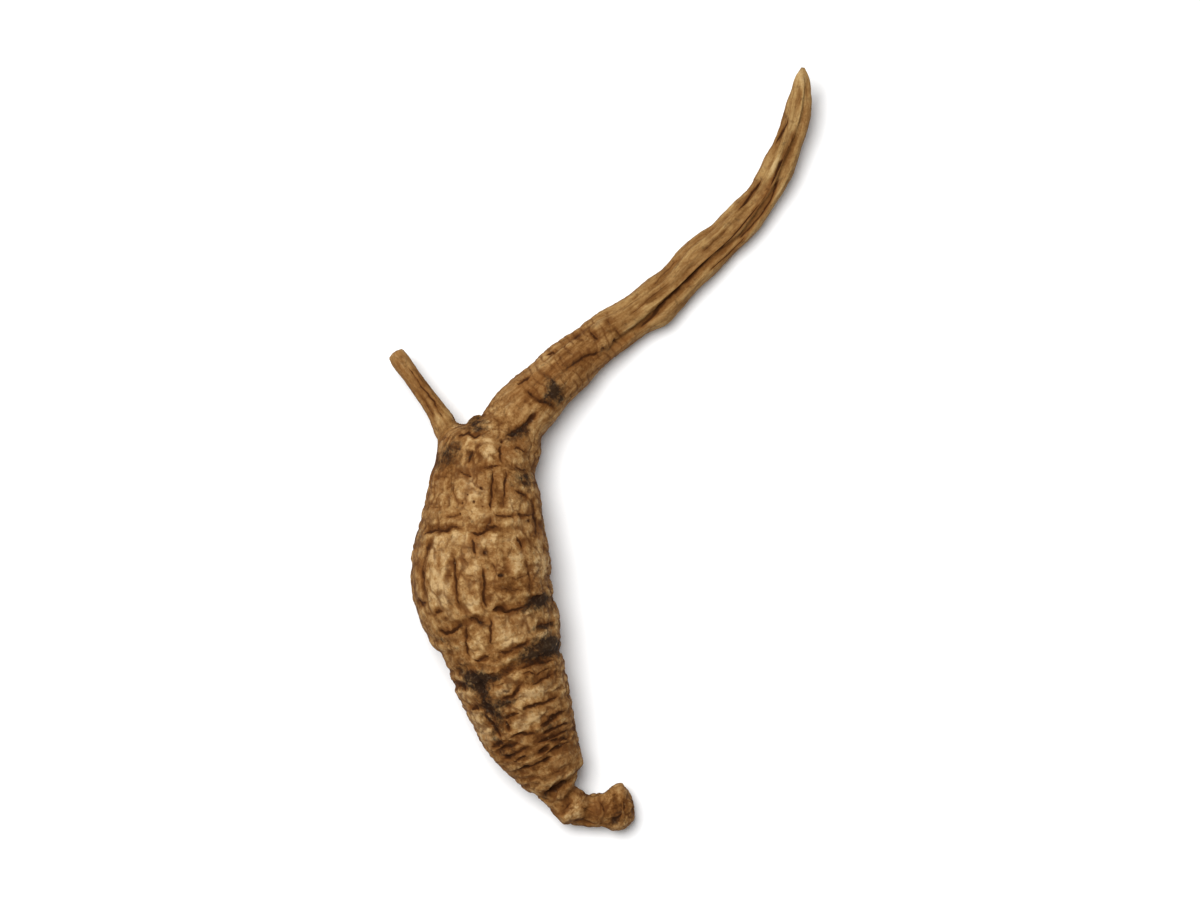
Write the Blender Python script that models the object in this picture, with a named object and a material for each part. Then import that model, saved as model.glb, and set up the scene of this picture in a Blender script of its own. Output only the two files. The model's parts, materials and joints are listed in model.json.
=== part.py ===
"""A dried American ginseng root, lying on its belly.

The root grew as one piece. Its trunk is one skin: the knobbly neck (the rhizome that carried the
stem), the ringed, spindle-shaped body, and the long curved tail root. A thin side rootlet that was
cut short forks off where the body ends. Seen from above, +Y runs from the neck to the tail's tip.
Everything is in metres, with the origin on the surface that the root lies on, below its middle.
"""

import math

import bpy
import numpy as np

MM = 0.001
ROOT_NAME = "ginseng_root"
SKIN_COLOUR = (0.27, 0.14, 0.052, 1.0)
SKIN_ROUGHNESS = 0.82

# Each limb is a row of stations along its axis: x, y, z of the centre, half width, half height.
NECK = MM * np.array([
    (3.5, -34.5, 2.3, 0.5, 0.5),
    (3.0, -34.5, 2.2, 1.5, 1.4),
    (1.5, -34.5, 2.0, 2.15, 2.0),
    (0.1, -34.8, 2.0, 1.75, 1.7),
    (-1.3, -34.7, 2.2, 1.75, 1.65),
    (-2.7, -34.4, 2.6, 2.1, 1.95),
    (-3.6, -33.5, 3.0, 1.95, 1.9),
])
BODY = MM * np.array([
    (-4.1, -32.6, 3.2, 2.2, 2.2),
    (-4.6, -31.4, 3.5, 3.05, 2.9),
    (-5.2, -29.95, 3.8, 3.75, 3.5),
    (-6.5, -27.7, 4.4, 4.6, 4.3),
    (-7.6, -24.6, 5.0, 5.1, 4.9),
    (-8.75, -21.4, 5.5, 5.6, 5.4),
    (-9.5, -18.7, 5.65, 5.95, 5.7),
    (-10.5, -16.0, 5.85, 6.55, 6.1),
    (-11.35, -13.0, 5.95, 6.8, 6.35),
    (-11.4, -10.6, 5.85, 6.85, 6.3),
    (-11.3, -8.0, 5.7, 6.35, 5.9),
    (-11.15, -4.9, 5.4, 5.75, 5.3),
    (-10.9, -2.0, 5.2, 5.3, 4.8),
    (-10.6, -0.5, 5.0, 5.1, 4.5),
    (-9.45, 0.7, 4.9, 4.0, 4.0),
    (-8.6, 1.75, 4.8, 3.45, 3.4),
])
TAIL = MM * np.array([
    (-8.0, 3.0, 4.6, 3.1, 3.1),
    (-6.5, 4.7, 4.3, 3.0, 2.9),
    (-4.5, 6.7, 3.8, 2.75, 2.7),
    (-2.2, 8.8, 3.1, 2.55, 2.45),
    (0.5, 11.0, 2.5, 2.3, 2.2),
    (4.0, 13.4, 2.1, 2.15, 2.1),
    (6.8, 15.5, 2.0, 2.15, 2.1),
    (9.3, 18.1, 2.0, 2.1, 2.05),
    (12.7, 21.15, 2.1, 1.9, 1.8),
    (15.7, 24.6, 2.5, 1.7, 1.6),
    (17.5, 28.0, 3.1, 1.6, 1.5),
    (18.8, 31.7, 3.8, 1.4, 1.3),
    (19.3, 34.4, 4.3, 1.15, 1.05),
    (19.45, 36.0, 4.6, 0.75, 0.7),
    (19.5, 36.75, 4.7, 0.3, 0.3),
])
ROOTLET = MM * np.array([
    (-12.4, -1.6, 4.7, 1.0, 1.0),
    (-14.0, 0.8, 4.7, 1.75, 1.7),
    (-14.9, 2.3, 4.5, 1.35, 1.3),
    (-15.7, 3.7, 4.3, 1.1, 1.05),
    (-16.8, 5.3, 4.1, 1.0, 0.95),
    (-18.2, 7.2, 3.9, 0.95, 0.9),
    (-19.5, 9.0, 3.8, 0.95, 0.9),
    (-19.75, 9.4, 3.8, 0.8, 0.75),
])

# Scars and buds that stand out of the limbs: x, y, z of the middle and the radius.
LUMPS = MM * np.array([
    (1.4, -33.3, 2.6, 1.4),
    (2.2, -35.3, 2.0, 1.4),
    (0.5, -35.8, 1.9, 0.95),
    (-2.9, -35.2, 2.4, 1.0),
    (-12.2, 2.45, 5.6, 0.95),
    (5.8, 13.85, 2.0, 1.85),
    (-3.3, -30.3, 3.9, 1.9),
    (-5.95, -16.1, 5.9, 2.2),
])

# Creases round the body: place along it in mm, the side it faces and its reach to each side of
# that in degrees (0 is the right side, 90 the top), depth and half width in mm.
CREASES = (
    (0.5, 90, 400, 0.55, 0.42),
    (1.7, 70, 130, 0.24, 0.30),
    (2.6, 120, 110, 0.26, 0.30),
    (3.5, 80, 400, 0.36, 0.30),
    (4.4, 50, 110, 0.30, 0.28),
    (5.3, 100, 400, 0.34, 0.30),
    (6.2, 130, 80, 0.26, 0.30),
    (7.2, 60, 90, 0.34, 0.32),
    (8.3, 85, 150, 0.36, 0.34),
    (10.3, 90, 400, 0.40, 0.36),
    (11.5, 120, 100, 0.36, 0.34),
    (13.0, 90, 400, 0.60, 0.46),
    (14.3, 140, 90, 0.34, 0.38),
    (15.9, 230, 90, 0.32, 0.42),
    (18.4, 50, 75, 0.55, 0.44),
    (18.1, 150, 55, 0.55, 0.44),
    (20.2, 145, 45, 0.34, 0.42),
    (21.2, 290, 80, 0.34, 0.44),
    (23.8, 250, 70, 0.32, 0.44),
    (26.7, 90, 400, 0.52, 0.44),
    (29.1, 125, 80, 0.28, 0.42),
    (32.2, 95, 130, 0.38, 0.44),
    (34.2, 60, 90, 0.34, 0.42),
)
CREASE_WANDER = 0.45 * MM

# Furrows along the body: the side, where each starts and ends in mm, depth and half width in mm.
BODY_FURROWS = (
    (111, 15.5, 26.4, 0.55, 0.55),
    (88, 18.5, 26.2, 0.48, 0.50),
    (64, 21.0, 25.6, 0.40, 0.50),
    (140, 20.5, 25.5, 0.36, 0.50),
    (93, 13.4, 17.8, 0.36, 0.45),
    (30, 15.0, 24.0, 0.34, 0.55),
    (80, 27.2, 33.0, 0.44, 0.42),
    (122, 27.5, 33.5, 0.30, 0.45),
    (45, 27.0, 33.5, 0.34, 0.50),
    (5, 16.0, 32.0, 0.34, 0.60),
    (175, 16.0, 33.0, 0.34, 0.60),
    (205, 15.0, 27.0, 0.36, 0.60),
    (235, 26.0, 34.0, 0.34, 0.60),
    (310, 14.0, 34.0, 0.36, 0.60),
    (340, 20.0, 33.0, 0.34, 0.60),
    (118, 6.8, 12.0, 0.34, 0.45),
    (55, 6.8, 12.6, 0.28, 0.45),
)
TAIL_FURROWS = (
    (58, 12.0, 46.0, 0.42, 0.42),
    (95, 18.0, 44.0, 0.26, 0.40),
    (140, 6.0, 40.0, 0.24, 0.45),
    (215, 5.0, 45.0, 0.30, 0.50),
    (320, 8.0, 46.0, 0.30, 0.50),
)

# The belly patch that takes the weight is left without creases, and pressed flat on the surface.
BELLY_SIDE = 270
BELLY_ALONG = 21.0 * MM
BELLY_REACH = 7.0 * MM
BELLY_SPREAD = 34

BODY_COLUMNS = 52
THIN_COLUMNS = BODY_COLUMNS // 2
ROOTLET_COLUMNS = 14
NECK_ROW_GAP = 0.62 * MM
RING_ZONE_END = 14.6 * MM
RING_ROW_GAP = 0.42 * MM
BODY_ROW_GAP = 0.78 * MM
TAIL_ROW_GAP = 1.15 * MM
LUMP_SEGMENTS = 12
LUMP_RINGS = 8
KNUCKLE_DEPTH = 0.16 * MM
TAIL_WAVE_DEPTH = 0.08 * MM
FULL_RELIEF_RADIUS = 1.5 * MM

# An oval faces along the line between the points this far behind and ahead of it, so that the
# ovals fan out evenly round a bend and don't cross on its inner side.
HEADING_REACH = 2.4 * MM


def clear_scene():
    """Takes away whatever the scene holds."""
    for obj in list(bpy.data.objects):
        bpy.data.objects.remove(obj, do_unlink=True)


def distances(stations):
    """How far along the axis each station is, by the straight lines between their centres."""
    steps = np.linalg.norm(np.diff(stations[:, :3], axis=0), axis=1)
    return np.concatenate([[0.0], np.cumsum(steps)])


def read_stations(stations, along):
    """The stations' values at each distance along, on cubic spans with central slopes."""
    knots = distances(stations)
    slopes = np.gradient(stations, knots, axis=0)
    span = np.clip(np.searchsorted(knots, along, side="right") - 1, 0, len(knots) - 2)
    length = (knots[span + 1] - knots[span])[:, None]
    t = (along - knots[span])[:, None] / length
    return (
        (2 * t**3 - 3 * t**2 + 1) * stations[span]
        + (t**3 - 2 * t**2 + t) * length * slopes[span]
        + (3 * t**2 - 2 * t**3) * stations[span + 1]
        + (t**3 - t**2) * length * slopes[span + 1]
    )


def even_rows(start, end, gap):
    """Distances from start up to but not including end, about one gap apart."""
    return np.linspace(start, end, max(3, round((end - start) / gap)), endpoint=False)


def turn_between(angle, side):
    """The signed turn in degrees from a side to each angle, from -180 to 180."""
    return (np.degrees(angle) - side + 180.0) % 360.0 - 180.0


def fade(distance, reach, soft):
    """One inside the reach, falling smoothly to nothing over the soft stretch beyond it."""
    t = np.clip((reach + soft - distance) / soft, 0.0, 1.0)
    return t * t * (3.0 - 2.0 * t)


def crease_depths(along, angle):
    """Hollows round the body, one array each: a bell curve across a line that wanders."""
    for number, (place, side, reach, depth, half_width) in enumerate(CREASES):
        wander = CREASE_WANDER * (
            np.sin(2.0 * angle + 1.7 * number) + 0.6 * np.sin(5.0 * angle + 2.9 * number)
        )
        across = (along - place * MM - wander) / (half_width * MM)
        reached = fade(np.abs(turn_between(angle, side)), reach, 30.0)
        yield depth * MM * reached * np.exp(-across * across)


def furrow_depths(furrows, along, angle, radius):
    """Hollows along a limb, one array each: a bell curve across a side that wanders."""
    for number, (side, start, end, depth, half_width) in enumerate(furrows):
        wander = 7.0 * np.sin(along / (2.6 * MM) + 2.1 * number)
        turn = np.radians(turn_between(angle, side + wander))
        across = turn * radius / (half_width * MM)
        middle = 0.5 * (start + end) * MM
        reached = fade(np.abs(along - middle), 0.5 * (end - start) * MM, 1.5 * MM)
        yield depth * MM * reached * np.exp(-across * across)


def deepest(hollows):
    """Relief of hollows that cross without making a pit: the cube root of their summed cubes."""
    return -np.cbrt(sum(hollow**3 for hollow in hollows))


def neck_relief(along, angle, radius):
    """Knuckles of the neck, where each year's stem broke off."""
    return KNUCKLE_DEPTH * np.sin(along / (0.42 * MM) + 1.2 * np.sin(angle + 0.6))


def body_relief(along, angle, radius):
    """Creases and furrows of the body, none of them on the patch that it rests on."""
    furrows = furrow_depths(BODY_FURROWS, along, angle, radius)
    relief = deepest([*crease_depths(along, angle), *furrows])
    on_belly = fade(np.abs(turn_between(angle, BELLY_SIDE)), BELLY_SPREAD, 25.0)
    on_belly = on_belly * fade(np.abs(along - BELLY_ALONG), BELLY_REACH, 4.0 * MM)
    return relief * (1.0 - on_belly)


def tail_relief(along, angle, radius):
    """Furrows of the tail root, and the faint waves that shrinking left across it."""
    waves = TAIL_WAVE_DEPTH * np.sin(along / (0.9 * MM) + 1.4 * np.sin(angle))
    return waves + deepest(furrow_depths(TAIL_FURROWS, along, angle, radius))


def no_relief(along, angle, radius):
    """A limb too thin for relief at this size."""
    return np.zeros(np.broadcast(along, angle).shape)


def swept_rings(stations, rows, start, columns, relief):
    """Rings of a limb: an oval carried along its axis, pushed out or in by its relief.

    The oval's point at an angle is centre + side * half width * cos + top * half height * sin.
    The relief's distances along are counted from start.
    """
    values = read_stations(stations, rows)
    centre, half_width, half_height = values[:, :3], values[:, 3:4], values[:, 4:5]
    end = distances(stations)[-1]
    ahead = read_stations(stations, np.minimum(rows + HEADING_REACH, end))
    behind = read_stations(stations, np.maximum(rows - HEADING_REACH, 0.0))
    forward = ahead[:, :3] - behind[:, :3]
    side = np.cross(forward, (0.0, 0.0, 1.0))
    side /= np.linalg.norm(side, axis=1, keepdims=True)
    top = np.cross(side, forward)
    top /= np.linalg.norm(top, axis=1, keepdims=True)
    angle = np.linspace(0.0, 2.0 * math.pi, columns, endpoint=False)[None, :]
    radius = 0.5 * (half_width + half_height)
    push = relief(rows[:, None] - start, angle, radius)
    push = push * np.minimum(1.0, radius / FULL_RELIEF_RADIUS)
    across = (half_width + push) * np.cos(angle)
    upward = (half_height + push) * np.sin(angle)
    return (
        centre[:, None, :]
        + across[:, :, None] * side[:, None, :]
        + upward[:, :, None] * top[:, None, :]
    )


def faces_between(near, far):
    """Faces between two rings of vertex numbers, of which one may have twice the other's."""
    if len(near) == len(far):
        return np.stack([near, far, np.roll(far, -1), np.roll(near, -1)], axis=1).tolist()
    fine, coarse = (near, far) if len(near) > len(far) else (far, near)
    left, middle, right = fine[0::2], fine[1::2], np.roll(fine[0::2], -1)
    coarse_next = np.roll(coarse, -1)
    faces = [*zip(left, coarse, middle), *zip(coarse, coarse_next, middle)]
    faces += [*zip(middle, coarse_next, right)]
    return faces if len(near) > len(far) else [face[::-1] for face in faces]


def closed_skin(name, grids):
    """A closed mesh over grids of rings, one grid after another, with a pole at either end."""
    rings, first = [], 0
    for grid in grids:
        for ring in grid:
            rings.append(np.arange(first, first + len(ring)))
            first += len(ring)
    faces = []
    for near, far in zip(rings[:-1], rings[1:]):
        faces += faces_between(near, far)
    start_pole, end_pole = first, first + 1
    faces += [(start_pole, a, b) for a, b in zip(rings[0], np.roll(rings[0], -1))]
    faces += [(end_pole, b, a) for a, b in zip(rings[-1], np.roll(rings[-1], -1))]
    poles = [grids[0][0].mean(axis=0), grids[-1][-1].mean(axis=0)]
    vertices = np.vstack([grid.reshape(-1, 3) for grid in grids] + [poles])
    vertices[:, 2] = np.maximum(vertices[:, 2], 0.0)
    mesh = bpy.data.meshes.new(name)
    mesh.from_pydata(vertices.tolist(), [], [[int(n) for n in face] for face in faces])
    mesh.validate()
    return mesh


def make_trunk():
    """The skin of the neck, the body and the tail root, which run into one another."""
    stations = np.vstack([NECK, BODY, TAIL])
    knots = distances(stations)
    body_start, tail_start = knots[len(NECK)], knots[len(NECK) + len(BODY)]
    ring_zone_end = body_start + RING_ZONE_END
    body_rows = np.concatenate([
        even_rows(body_start, ring_zone_end, RING_ROW_GAP),
        even_rows(ring_zone_end, tail_start, BODY_ROW_GAP),
    ])
    tail_rows = np.append(even_rows(tail_start, knots[-1], TAIL_ROW_GAP), knots[-1])
    limbs = (
        (even_rows(0.0, body_start, NECK_ROW_GAP), THIN_COLUMNS, neck_relief, body_start),
        (body_rows, BODY_COLUMNS, body_relief, body_start),
        (tail_rows, THIN_COLUMNS, tail_relief, tail_start),
    )
    grids = [
        swept_rings(stations, rows, start, columns, relief)
        for rows, columns, relief, start in limbs
    ]
    return closed_skin(ROOT_NAME, grids)


def make_rootlet():
    """The skin of the side rootlet, which starts inside the body and ends cut off."""
    length = distances(ROOTLET)[-1]
    rows = np.append(even_rows(0.0, length, NECK_ROW_GAP), length)
    return closed_skin("rootlet", [swept_rings(ROOTLET, rows, 0.0, ROOTLET_COLUMNS, no_relief)])


def make_lump(number, place, collection):
    """A rounded scar or bud, sunk well into the limb that it stands on."""
    bpy.ops.mesh.primitive_uv_sphere_add(
        segments=LUMP_SEGMENTS, ring_count=LUMP_RINGS, radius=place[3], location=place[:3]
    )
    lump = bpy.context.active_object
    lump.name = f"lump_{number}"
    lump.rotation_euler = (0.4 * number, 0.3 * number, 0.7 * number)
    for held in list(lump.users_collection):
        held.objects.unlink(lump)
    collection.objects.link(lump)


def grow_together(trunk, branches):
    """Joins the branches into the trunk with one Boolean union, and takes them away."""
    union = trunk.modifiers.new("grown_together", "BOOLEAN")
    union.operation = "UNION"
    union.operand_type = "COLLECTION"
    union.collection = branches
    union.solver = "EXACT"
    bpy.context.view_layer.update()
    graph = bpy.context.evaluated_depsgraph_get()
    grown = bpy.data.meshes.new_from_object(trunk.evaluated_get(graph))
    trunk.modifiers.clear()
    trunk.data = grown
    for branch in list(branches.objects):
        bpy.data.objects.remove(branch, do_unlink=True)
    bpy.data.collections.remove(branches)


def dried_skin():
    """The brown, matt skin of a dried root."""
    material = bpy.data.materials.new("dried_skin")
    material.use_nodes = True
    shader = material.node_tree.nodes["Principled BSDF"]
    shader.inputs["Base Color"].default_value = SKIN_COLOUR
    shader.inputs["Roughness"].default_value = SKIN_ROUGHNESS
    shader.inputs["Metallic"].default_value = 0.0
    return material


def build_root():
    """The whole root: the trunk, with its rootlet, scars and buds grown into it."""
    collection = bpy.data.collections.new(ROOT_NAME)
    branches = bpy.data.collections.new("branches")
    for made in (collection, branches):
        bpy.context.scene.collection.children.link(made)
    root = bpy.data.objects.new(ROOT_NAME, make_trunk())
    collection.objects.link(root)
    branches.objects.link(bpy.data.objects.new("rootlet", make_rootlet()))
    for number, place in enumerate(LUMPS):
        make_lump(number, place, branches)
    grow_together(root, branches)
    root.data.materials.clear()
    root.data.materials.append(dried_skin())
    root.data.shade_smooth()


clear_scene()
build_root()
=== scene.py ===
"""The looks of a dried American ginseng root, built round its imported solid.

The root grew as one piece, so it is one closed skin: the trunk, which is the neck, the body and the
tail root in one run, and a rootlet and a bud that grew on it. Its stations and its broad relief
repeat the solid's, and the fine relief and the colours are added here.
"""

import json
import math

import bpy
import numpy as np
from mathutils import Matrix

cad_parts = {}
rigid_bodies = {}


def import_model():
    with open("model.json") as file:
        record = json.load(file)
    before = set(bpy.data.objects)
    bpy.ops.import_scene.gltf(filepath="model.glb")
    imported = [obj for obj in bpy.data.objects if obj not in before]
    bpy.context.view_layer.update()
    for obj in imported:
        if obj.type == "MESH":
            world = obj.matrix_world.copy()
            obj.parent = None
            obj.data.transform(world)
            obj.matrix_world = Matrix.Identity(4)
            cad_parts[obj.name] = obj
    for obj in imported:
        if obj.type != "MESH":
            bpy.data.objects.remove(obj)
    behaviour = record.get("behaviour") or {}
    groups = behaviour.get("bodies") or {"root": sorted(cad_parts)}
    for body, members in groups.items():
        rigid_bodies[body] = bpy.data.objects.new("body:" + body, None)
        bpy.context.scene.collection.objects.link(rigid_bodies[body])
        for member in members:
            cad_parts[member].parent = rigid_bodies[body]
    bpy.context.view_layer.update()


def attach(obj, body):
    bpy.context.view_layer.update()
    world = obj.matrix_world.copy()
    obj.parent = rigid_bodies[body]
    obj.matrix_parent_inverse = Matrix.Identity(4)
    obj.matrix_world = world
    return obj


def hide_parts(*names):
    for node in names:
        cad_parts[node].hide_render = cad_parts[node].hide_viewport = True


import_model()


# The trunk: one run of root from the knobbly neck, through the swollen body, to the tip of the long
# tail root, all of woody flesh that shrank as it dried. A station is x, y, z of the axis, the half
# width and the half height.
MM = 0.001
NECK = MM * np.array([
    (3.55, -34.5, 2.3, 0.12, 0.12), (3.42, -34.5, 2.28, 0.75, 0.72), (3.0, -34.5, 2.2, 1.5, 1.4),
    (1.5, -34.5, 2.0, 2.15, 2.0), (0.1, -34.8, 2.0, 1.75, 1.7), (-1.3, -34.7, 2.2, 1.75, 1.65),
    (-2.7, -34.4, 2.6, 2.1, 1.95), (-3.6, -33.5, 3.0, 1.95, 1.9),
])
BODY = MM * np.array([
    (-4.1, -32.6, 3.2, 2.2, 2.2), (-4.6, -31.4, 3.5, 3.05, 2.9), (-5.2, -29.95, 3.8, 3.75, 3.5),
    (-6.5, -27.7, 4.4, 4.6, 4.3), (-7.6, -24.6, 5.0, 5.1, 4.9), (-8.75, -21.4, 5.5, 5.6, 5.4),
    (-9.5, -18.7, 5.65, 5.95, 5.7), (-10.5, -16.0, 5.85, 6.55, 6.1),
    (-11.35, -13.0, 5.95, 6.8, 6.35), (-11.4, -10.6, 5.85, 6.85, 6.3),
    (-11.3, -8.0, 5.7, 6.35, 5.9), (-11.15, -4.9, 5.4, 5.75, 5.3), (-10.9, -2.0, 5.2, 5.3, 4.8),
    (-10.6, -0.5, 5.0, 5.1, 4.5), (-9.45, 0.7, 4.9, 4.0, 4.0), (-8.6, 1.75, 4.8, 3.45, 3.4),
])
TAIL = MM * np.array([
    (-8.0, 3.0, 4.6, 3.1, 3.1), (-6.5, 4.7, 4.3, 3.0, 2.9), (-4.5, 6.7, 3.8, 2.75, 2.7),
    (-2.2, 8.8, 3.1, 2.55, 2.45), (0.5, 11.0, 2.5, 2.3, 2.2), (4.0, 13.4, 2.1, 2.15, 2.1),
    (6.8, 15.5, 2.0, 2.15, 2.1), (9.3, 18.1, 2.0, 2.1, 2.05), (12.7, 21.15, 2.1, 1.9, 1.8),
    (15.7, 24.6, 2.5, 1.7, 1.6), (17.5, 28.0, 3.1, 1.6, 1.5), (18.8, 31.7, 3.8, 1.4, 1.3),
    (19.3, 34.4, 4.3, 1.15, 1.05), (19.45, 36.0, 4.6, 0.75, 0.7), (19.5, 36.75, 4.7, 0.3, 0.3),
])
HEADING_REACH = 2.4 * MM


def distances(stations):
    """How far along the axis each station is, by the straight lines between their centres."""
    steps = np.linalg.norm(np.diff(stations[:, :3], axis=0), axis=1)
    return np.concatenate([[0.0], np.cumsum(steps)])


def read_stations(stations, along):
    """The stations' values at each distance along, on cubic spans with central slopes."""
    knots = distances(stations)
    slopes = np.gradient(stations, knots, axis=0)
    span = np.clip(np.searchsorted(knots, along, side="right") - 1, 0, len(knots) - 2)
    length = (knots[span + 1] - knots[span])[:, None]
    t = (along - knots[span])[:, None] / length
    return (
        (2 * t**3 - 3 * t**2 + 1) * stations[span]
        + (t**3 - 2 * t**2 + t) * length * slopes[span]
        + (3 * t**2 - 2 * t**3) * stations[span + 1]
        + (t**3 - t**2) * length * slopes[span + 1]
    )


TRUNK = np.vstack([NECK, BODY, TAIL])
BODY_START = distances(TRUNK)[len(NECK)]
TAIL_START = distances(TRUNK)[len(NECK) + len(BODY)]
TRUNK_END = distances(TRUNK)[-1]


# The rings, furrows, knuckles and knobs of the trunk, which formed as the flesh under the skin
# shrank. They are the solid's own. Millimetres and degrees: a crease round the body is a place, a
# side, a reach round, a depth and a half width. A furrow along it is a side, a start, an end, a
# depth and a half width. A knob or dent is a place, a size and how far it stands out.
CREASES = (
    (0.5, 90, 400, 0.28, 0.34), (1.7, 70, 130, 0.08, 0.24), (2.6, 120, 110, 0.09, 0.24),
    (3.5, 80, 400, 0.12, 0.24), (4.4, 50, 110, 0.1, 0.22), (5.3, 100, 400, 0.11, 0.24),
    (6.2, 130, 80, 0.09, 0.24), (7.2, 60, 90, 0.11, 0.26), (8.3, 85, 150, 0.12, 0.27),
    (10.3, 90, 400, 0.14, 0.29), (11.5, 120, 100, 0.12, 0.27), (13.0, 90, 400, 0.31, 0.37),
    (14.3, 140, 90, 0.17, 0.3), (15.9, 230, 90, 0.1, 0.34), (18.4, 50, 75, 0.18, 0.35),
    (18.1, 150, 55, 0.18, 0.35), (20.2, 145, 45, 0.11, 0.34), (21.2, 290, 80, 0.11, 0.35),
    (23.8, 250, 70, 0.1, 0.35), (26.7, 90, 400, 0.17, 0.35), (29.1, 125, 80, 0.09, 0.34),
    (32.2, 95, 130, 0.13, 0.35), (34.2, 60, 90, 0.11, 0.34),
)
CREASE_WANDER = 0.45 * MM
CREASE_FADE = 30.0
BODY_FURROWS = (
    (111, 15.5, 26.4, 0.18, 0.41), (88, 18.5, 26.2, 0.16, 0.38), (64, 21, 25.6, 0.13, 0.38),
    (140, 20.5, 25.5, 0.12, 0.38), (93, 13.4, 17.8, 0.12, 0.34), (30, 15, 24, 0.11, 0.41),
    (80, 27.2, 33, 0.14, 0.32), (122, 27.5, 33.5, 0.1, 0.34), (45, 27, 33.5, 0.11, 0.38),
    (5, 16, 32, 0.11, 0.45), (175, 16, 33, 0.11, 0.45), (205, 15, 27, 0.12, 0.45),
    (235, 26, 34, 0.11, 0.45), (310, 14, 34, 0.12, 0.45), (340, 20, 33, 0.11, 0.45),
    (118, 6.8, 12, 0.11, 0.34), (55, 6.8, 12.6, 0.09, 0.34),
)
TAIL_FURROWS = (
    (58, 12.0, 46.0, 0.42, 0.42), (95, 18.0, 44.0, 0.26, 0.4), (140, 6.0, 40.0, 0.24, 0.45),
    (215, 5.0, 45.0, 0.3, 0.5), (320, 8.0, 46.0, 0.3, 0.5),
)
FURROW_WANDER, FURROW_WAVE, FURROW_FADE = 7.0, 2.6 * MM, 1.5 * MM
KNOBS = MM * np.array([
    (1.5, -32.5, 2.8, 1.15, 0.5), (3.3, -35.3, 2.2, 0.9, 0.15), (3.4, -33.4, 2.6, 0.7, -0.25),
    (1.2, -36.5, 2.0, 1.1, 0.25), (3.5, -34.6, 2.25, 1.3, 0.25), (3.5, -34.6, 2.25, 0.75, -0.8),
    (3.1, -33.9, 3.3, 0.5, 0.2), (2.9, -35.7, 1.5, 0.5, 0.2), (2.4, -33.0, 1.6, 0.5, 0.18),
    (0.2, -33.2, 3.2, 0.55, 0.22), (0.4, -35.2, 3.9, 0.55, 0.2), (-1.6, -35.0, 4.0, 0.6, 0.2),
    (-2.6, -33.4, 4.4, 0.6, -0.2), (-4.3, -35.6, 2.5, 1.1, -0.35), (-3.4, -36.3, 2.3, 0.7, 0.15),
    (-1.2, -36.5, 2.0, 0.7, -0.15), (6.4, 11.9, 2.3, 1.7, 0.42), (-1.75, -30.1, 4.2, 1.0, 0.42),
    (-4.15, -16.0, 6.4, 1.1, 0.38), (-15.7, -19.6, 5.7, 1.3, -0.55), (-15.2, -21.0, 5.7, 1.3, -0.3),
    (-10.4, -30.0, 3.8, 1.4, -0.3), (-6.1, -0.6, 4.9, 1.2, 0.35), (-12.6, 3.1, 5.0, 1.2, -0.45),
])
KNUCKLE_HEIGHT, KNUCKLE_WAVE = 0.16 * MM, 0.42 * MM
TAIL_WAVE_HEIGHT, TAIL_WAVE = 0.08 * MM, 0.9 * MM
BELLY_SIDE, BELLY_SPREAD, BELLY_SPREAD_FADE = 270, 34, 25
BELLY_ALONG, BELLY_REACH, BELLY_REACH_FADE = 21.0 * MM, 7.0 * MM, 4.0 * MM
THIN_RADIUS = 1.5 * MM


def ease(value, low, high):
    """Nothing up to low and one from high on, with a smooth S between them."""
    t = np.clip((value - low) / (high - low), 0.0, 1.0)
    return t * t * (3.0 - 2.0 * t)


def turn_between(angle, side):
    """The signed turn in degrees from a side to each angle, from -180 to 180."""
    return (np.degrees(angle) - side + 180.0) % 360.0 - 180.0


def crease_depths(along, angle):
    """Hollows round the body, one array each: a bell curve across a line bent by two sine waves."""
    for number, (place, side, reach, depth, half_width) in enumerate(CREASES):
        wander = CREASE_WANDER * (
            np.sin(2.0 * angle + 1.7 * number) + 0.6 * np.sin(5.0 * angle + 2.9 * number)
        )
        across = (along - place * MM - wander) / (half_width * MM)
        reached = 1.0 - ease(np.abs(turn_between(angle, side)), reach, reach + CREASE_FADE)
        yield depth * MM * reached * np.exp(-across * across)


def furrow_depths(furrows, along, angle, radius):
    """Hollows along a limb, one array each: a bell curve across a side bent by a sine wave."""
    for number, (side, start, end, depth, half_width) in enumerate(furrows):
        wander = FURROW_WANDER * np.sin(along / FURROW_WAVE + 2.1 * number)
        turn = np.radians(turn_between(angle, side + wander))
        across = turn * radius / (half_width * MM)
        from_middle = np.abs(along - 0.5 * (start + end) * MM)
        half_length = 0.5 * (end - start) * MM
        reached = 1.0 - ease(from_middle, half_length, half_length + FURROW_FADE)
        yield depth * MM * reached * np.exp(-across * across)


def deepest(hollows):
    """Hollows that cross without making a pit: the cube root of their summed cubes."""
    return np.cbrt(sum(hollow**3 for hollow in hollows))


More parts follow.
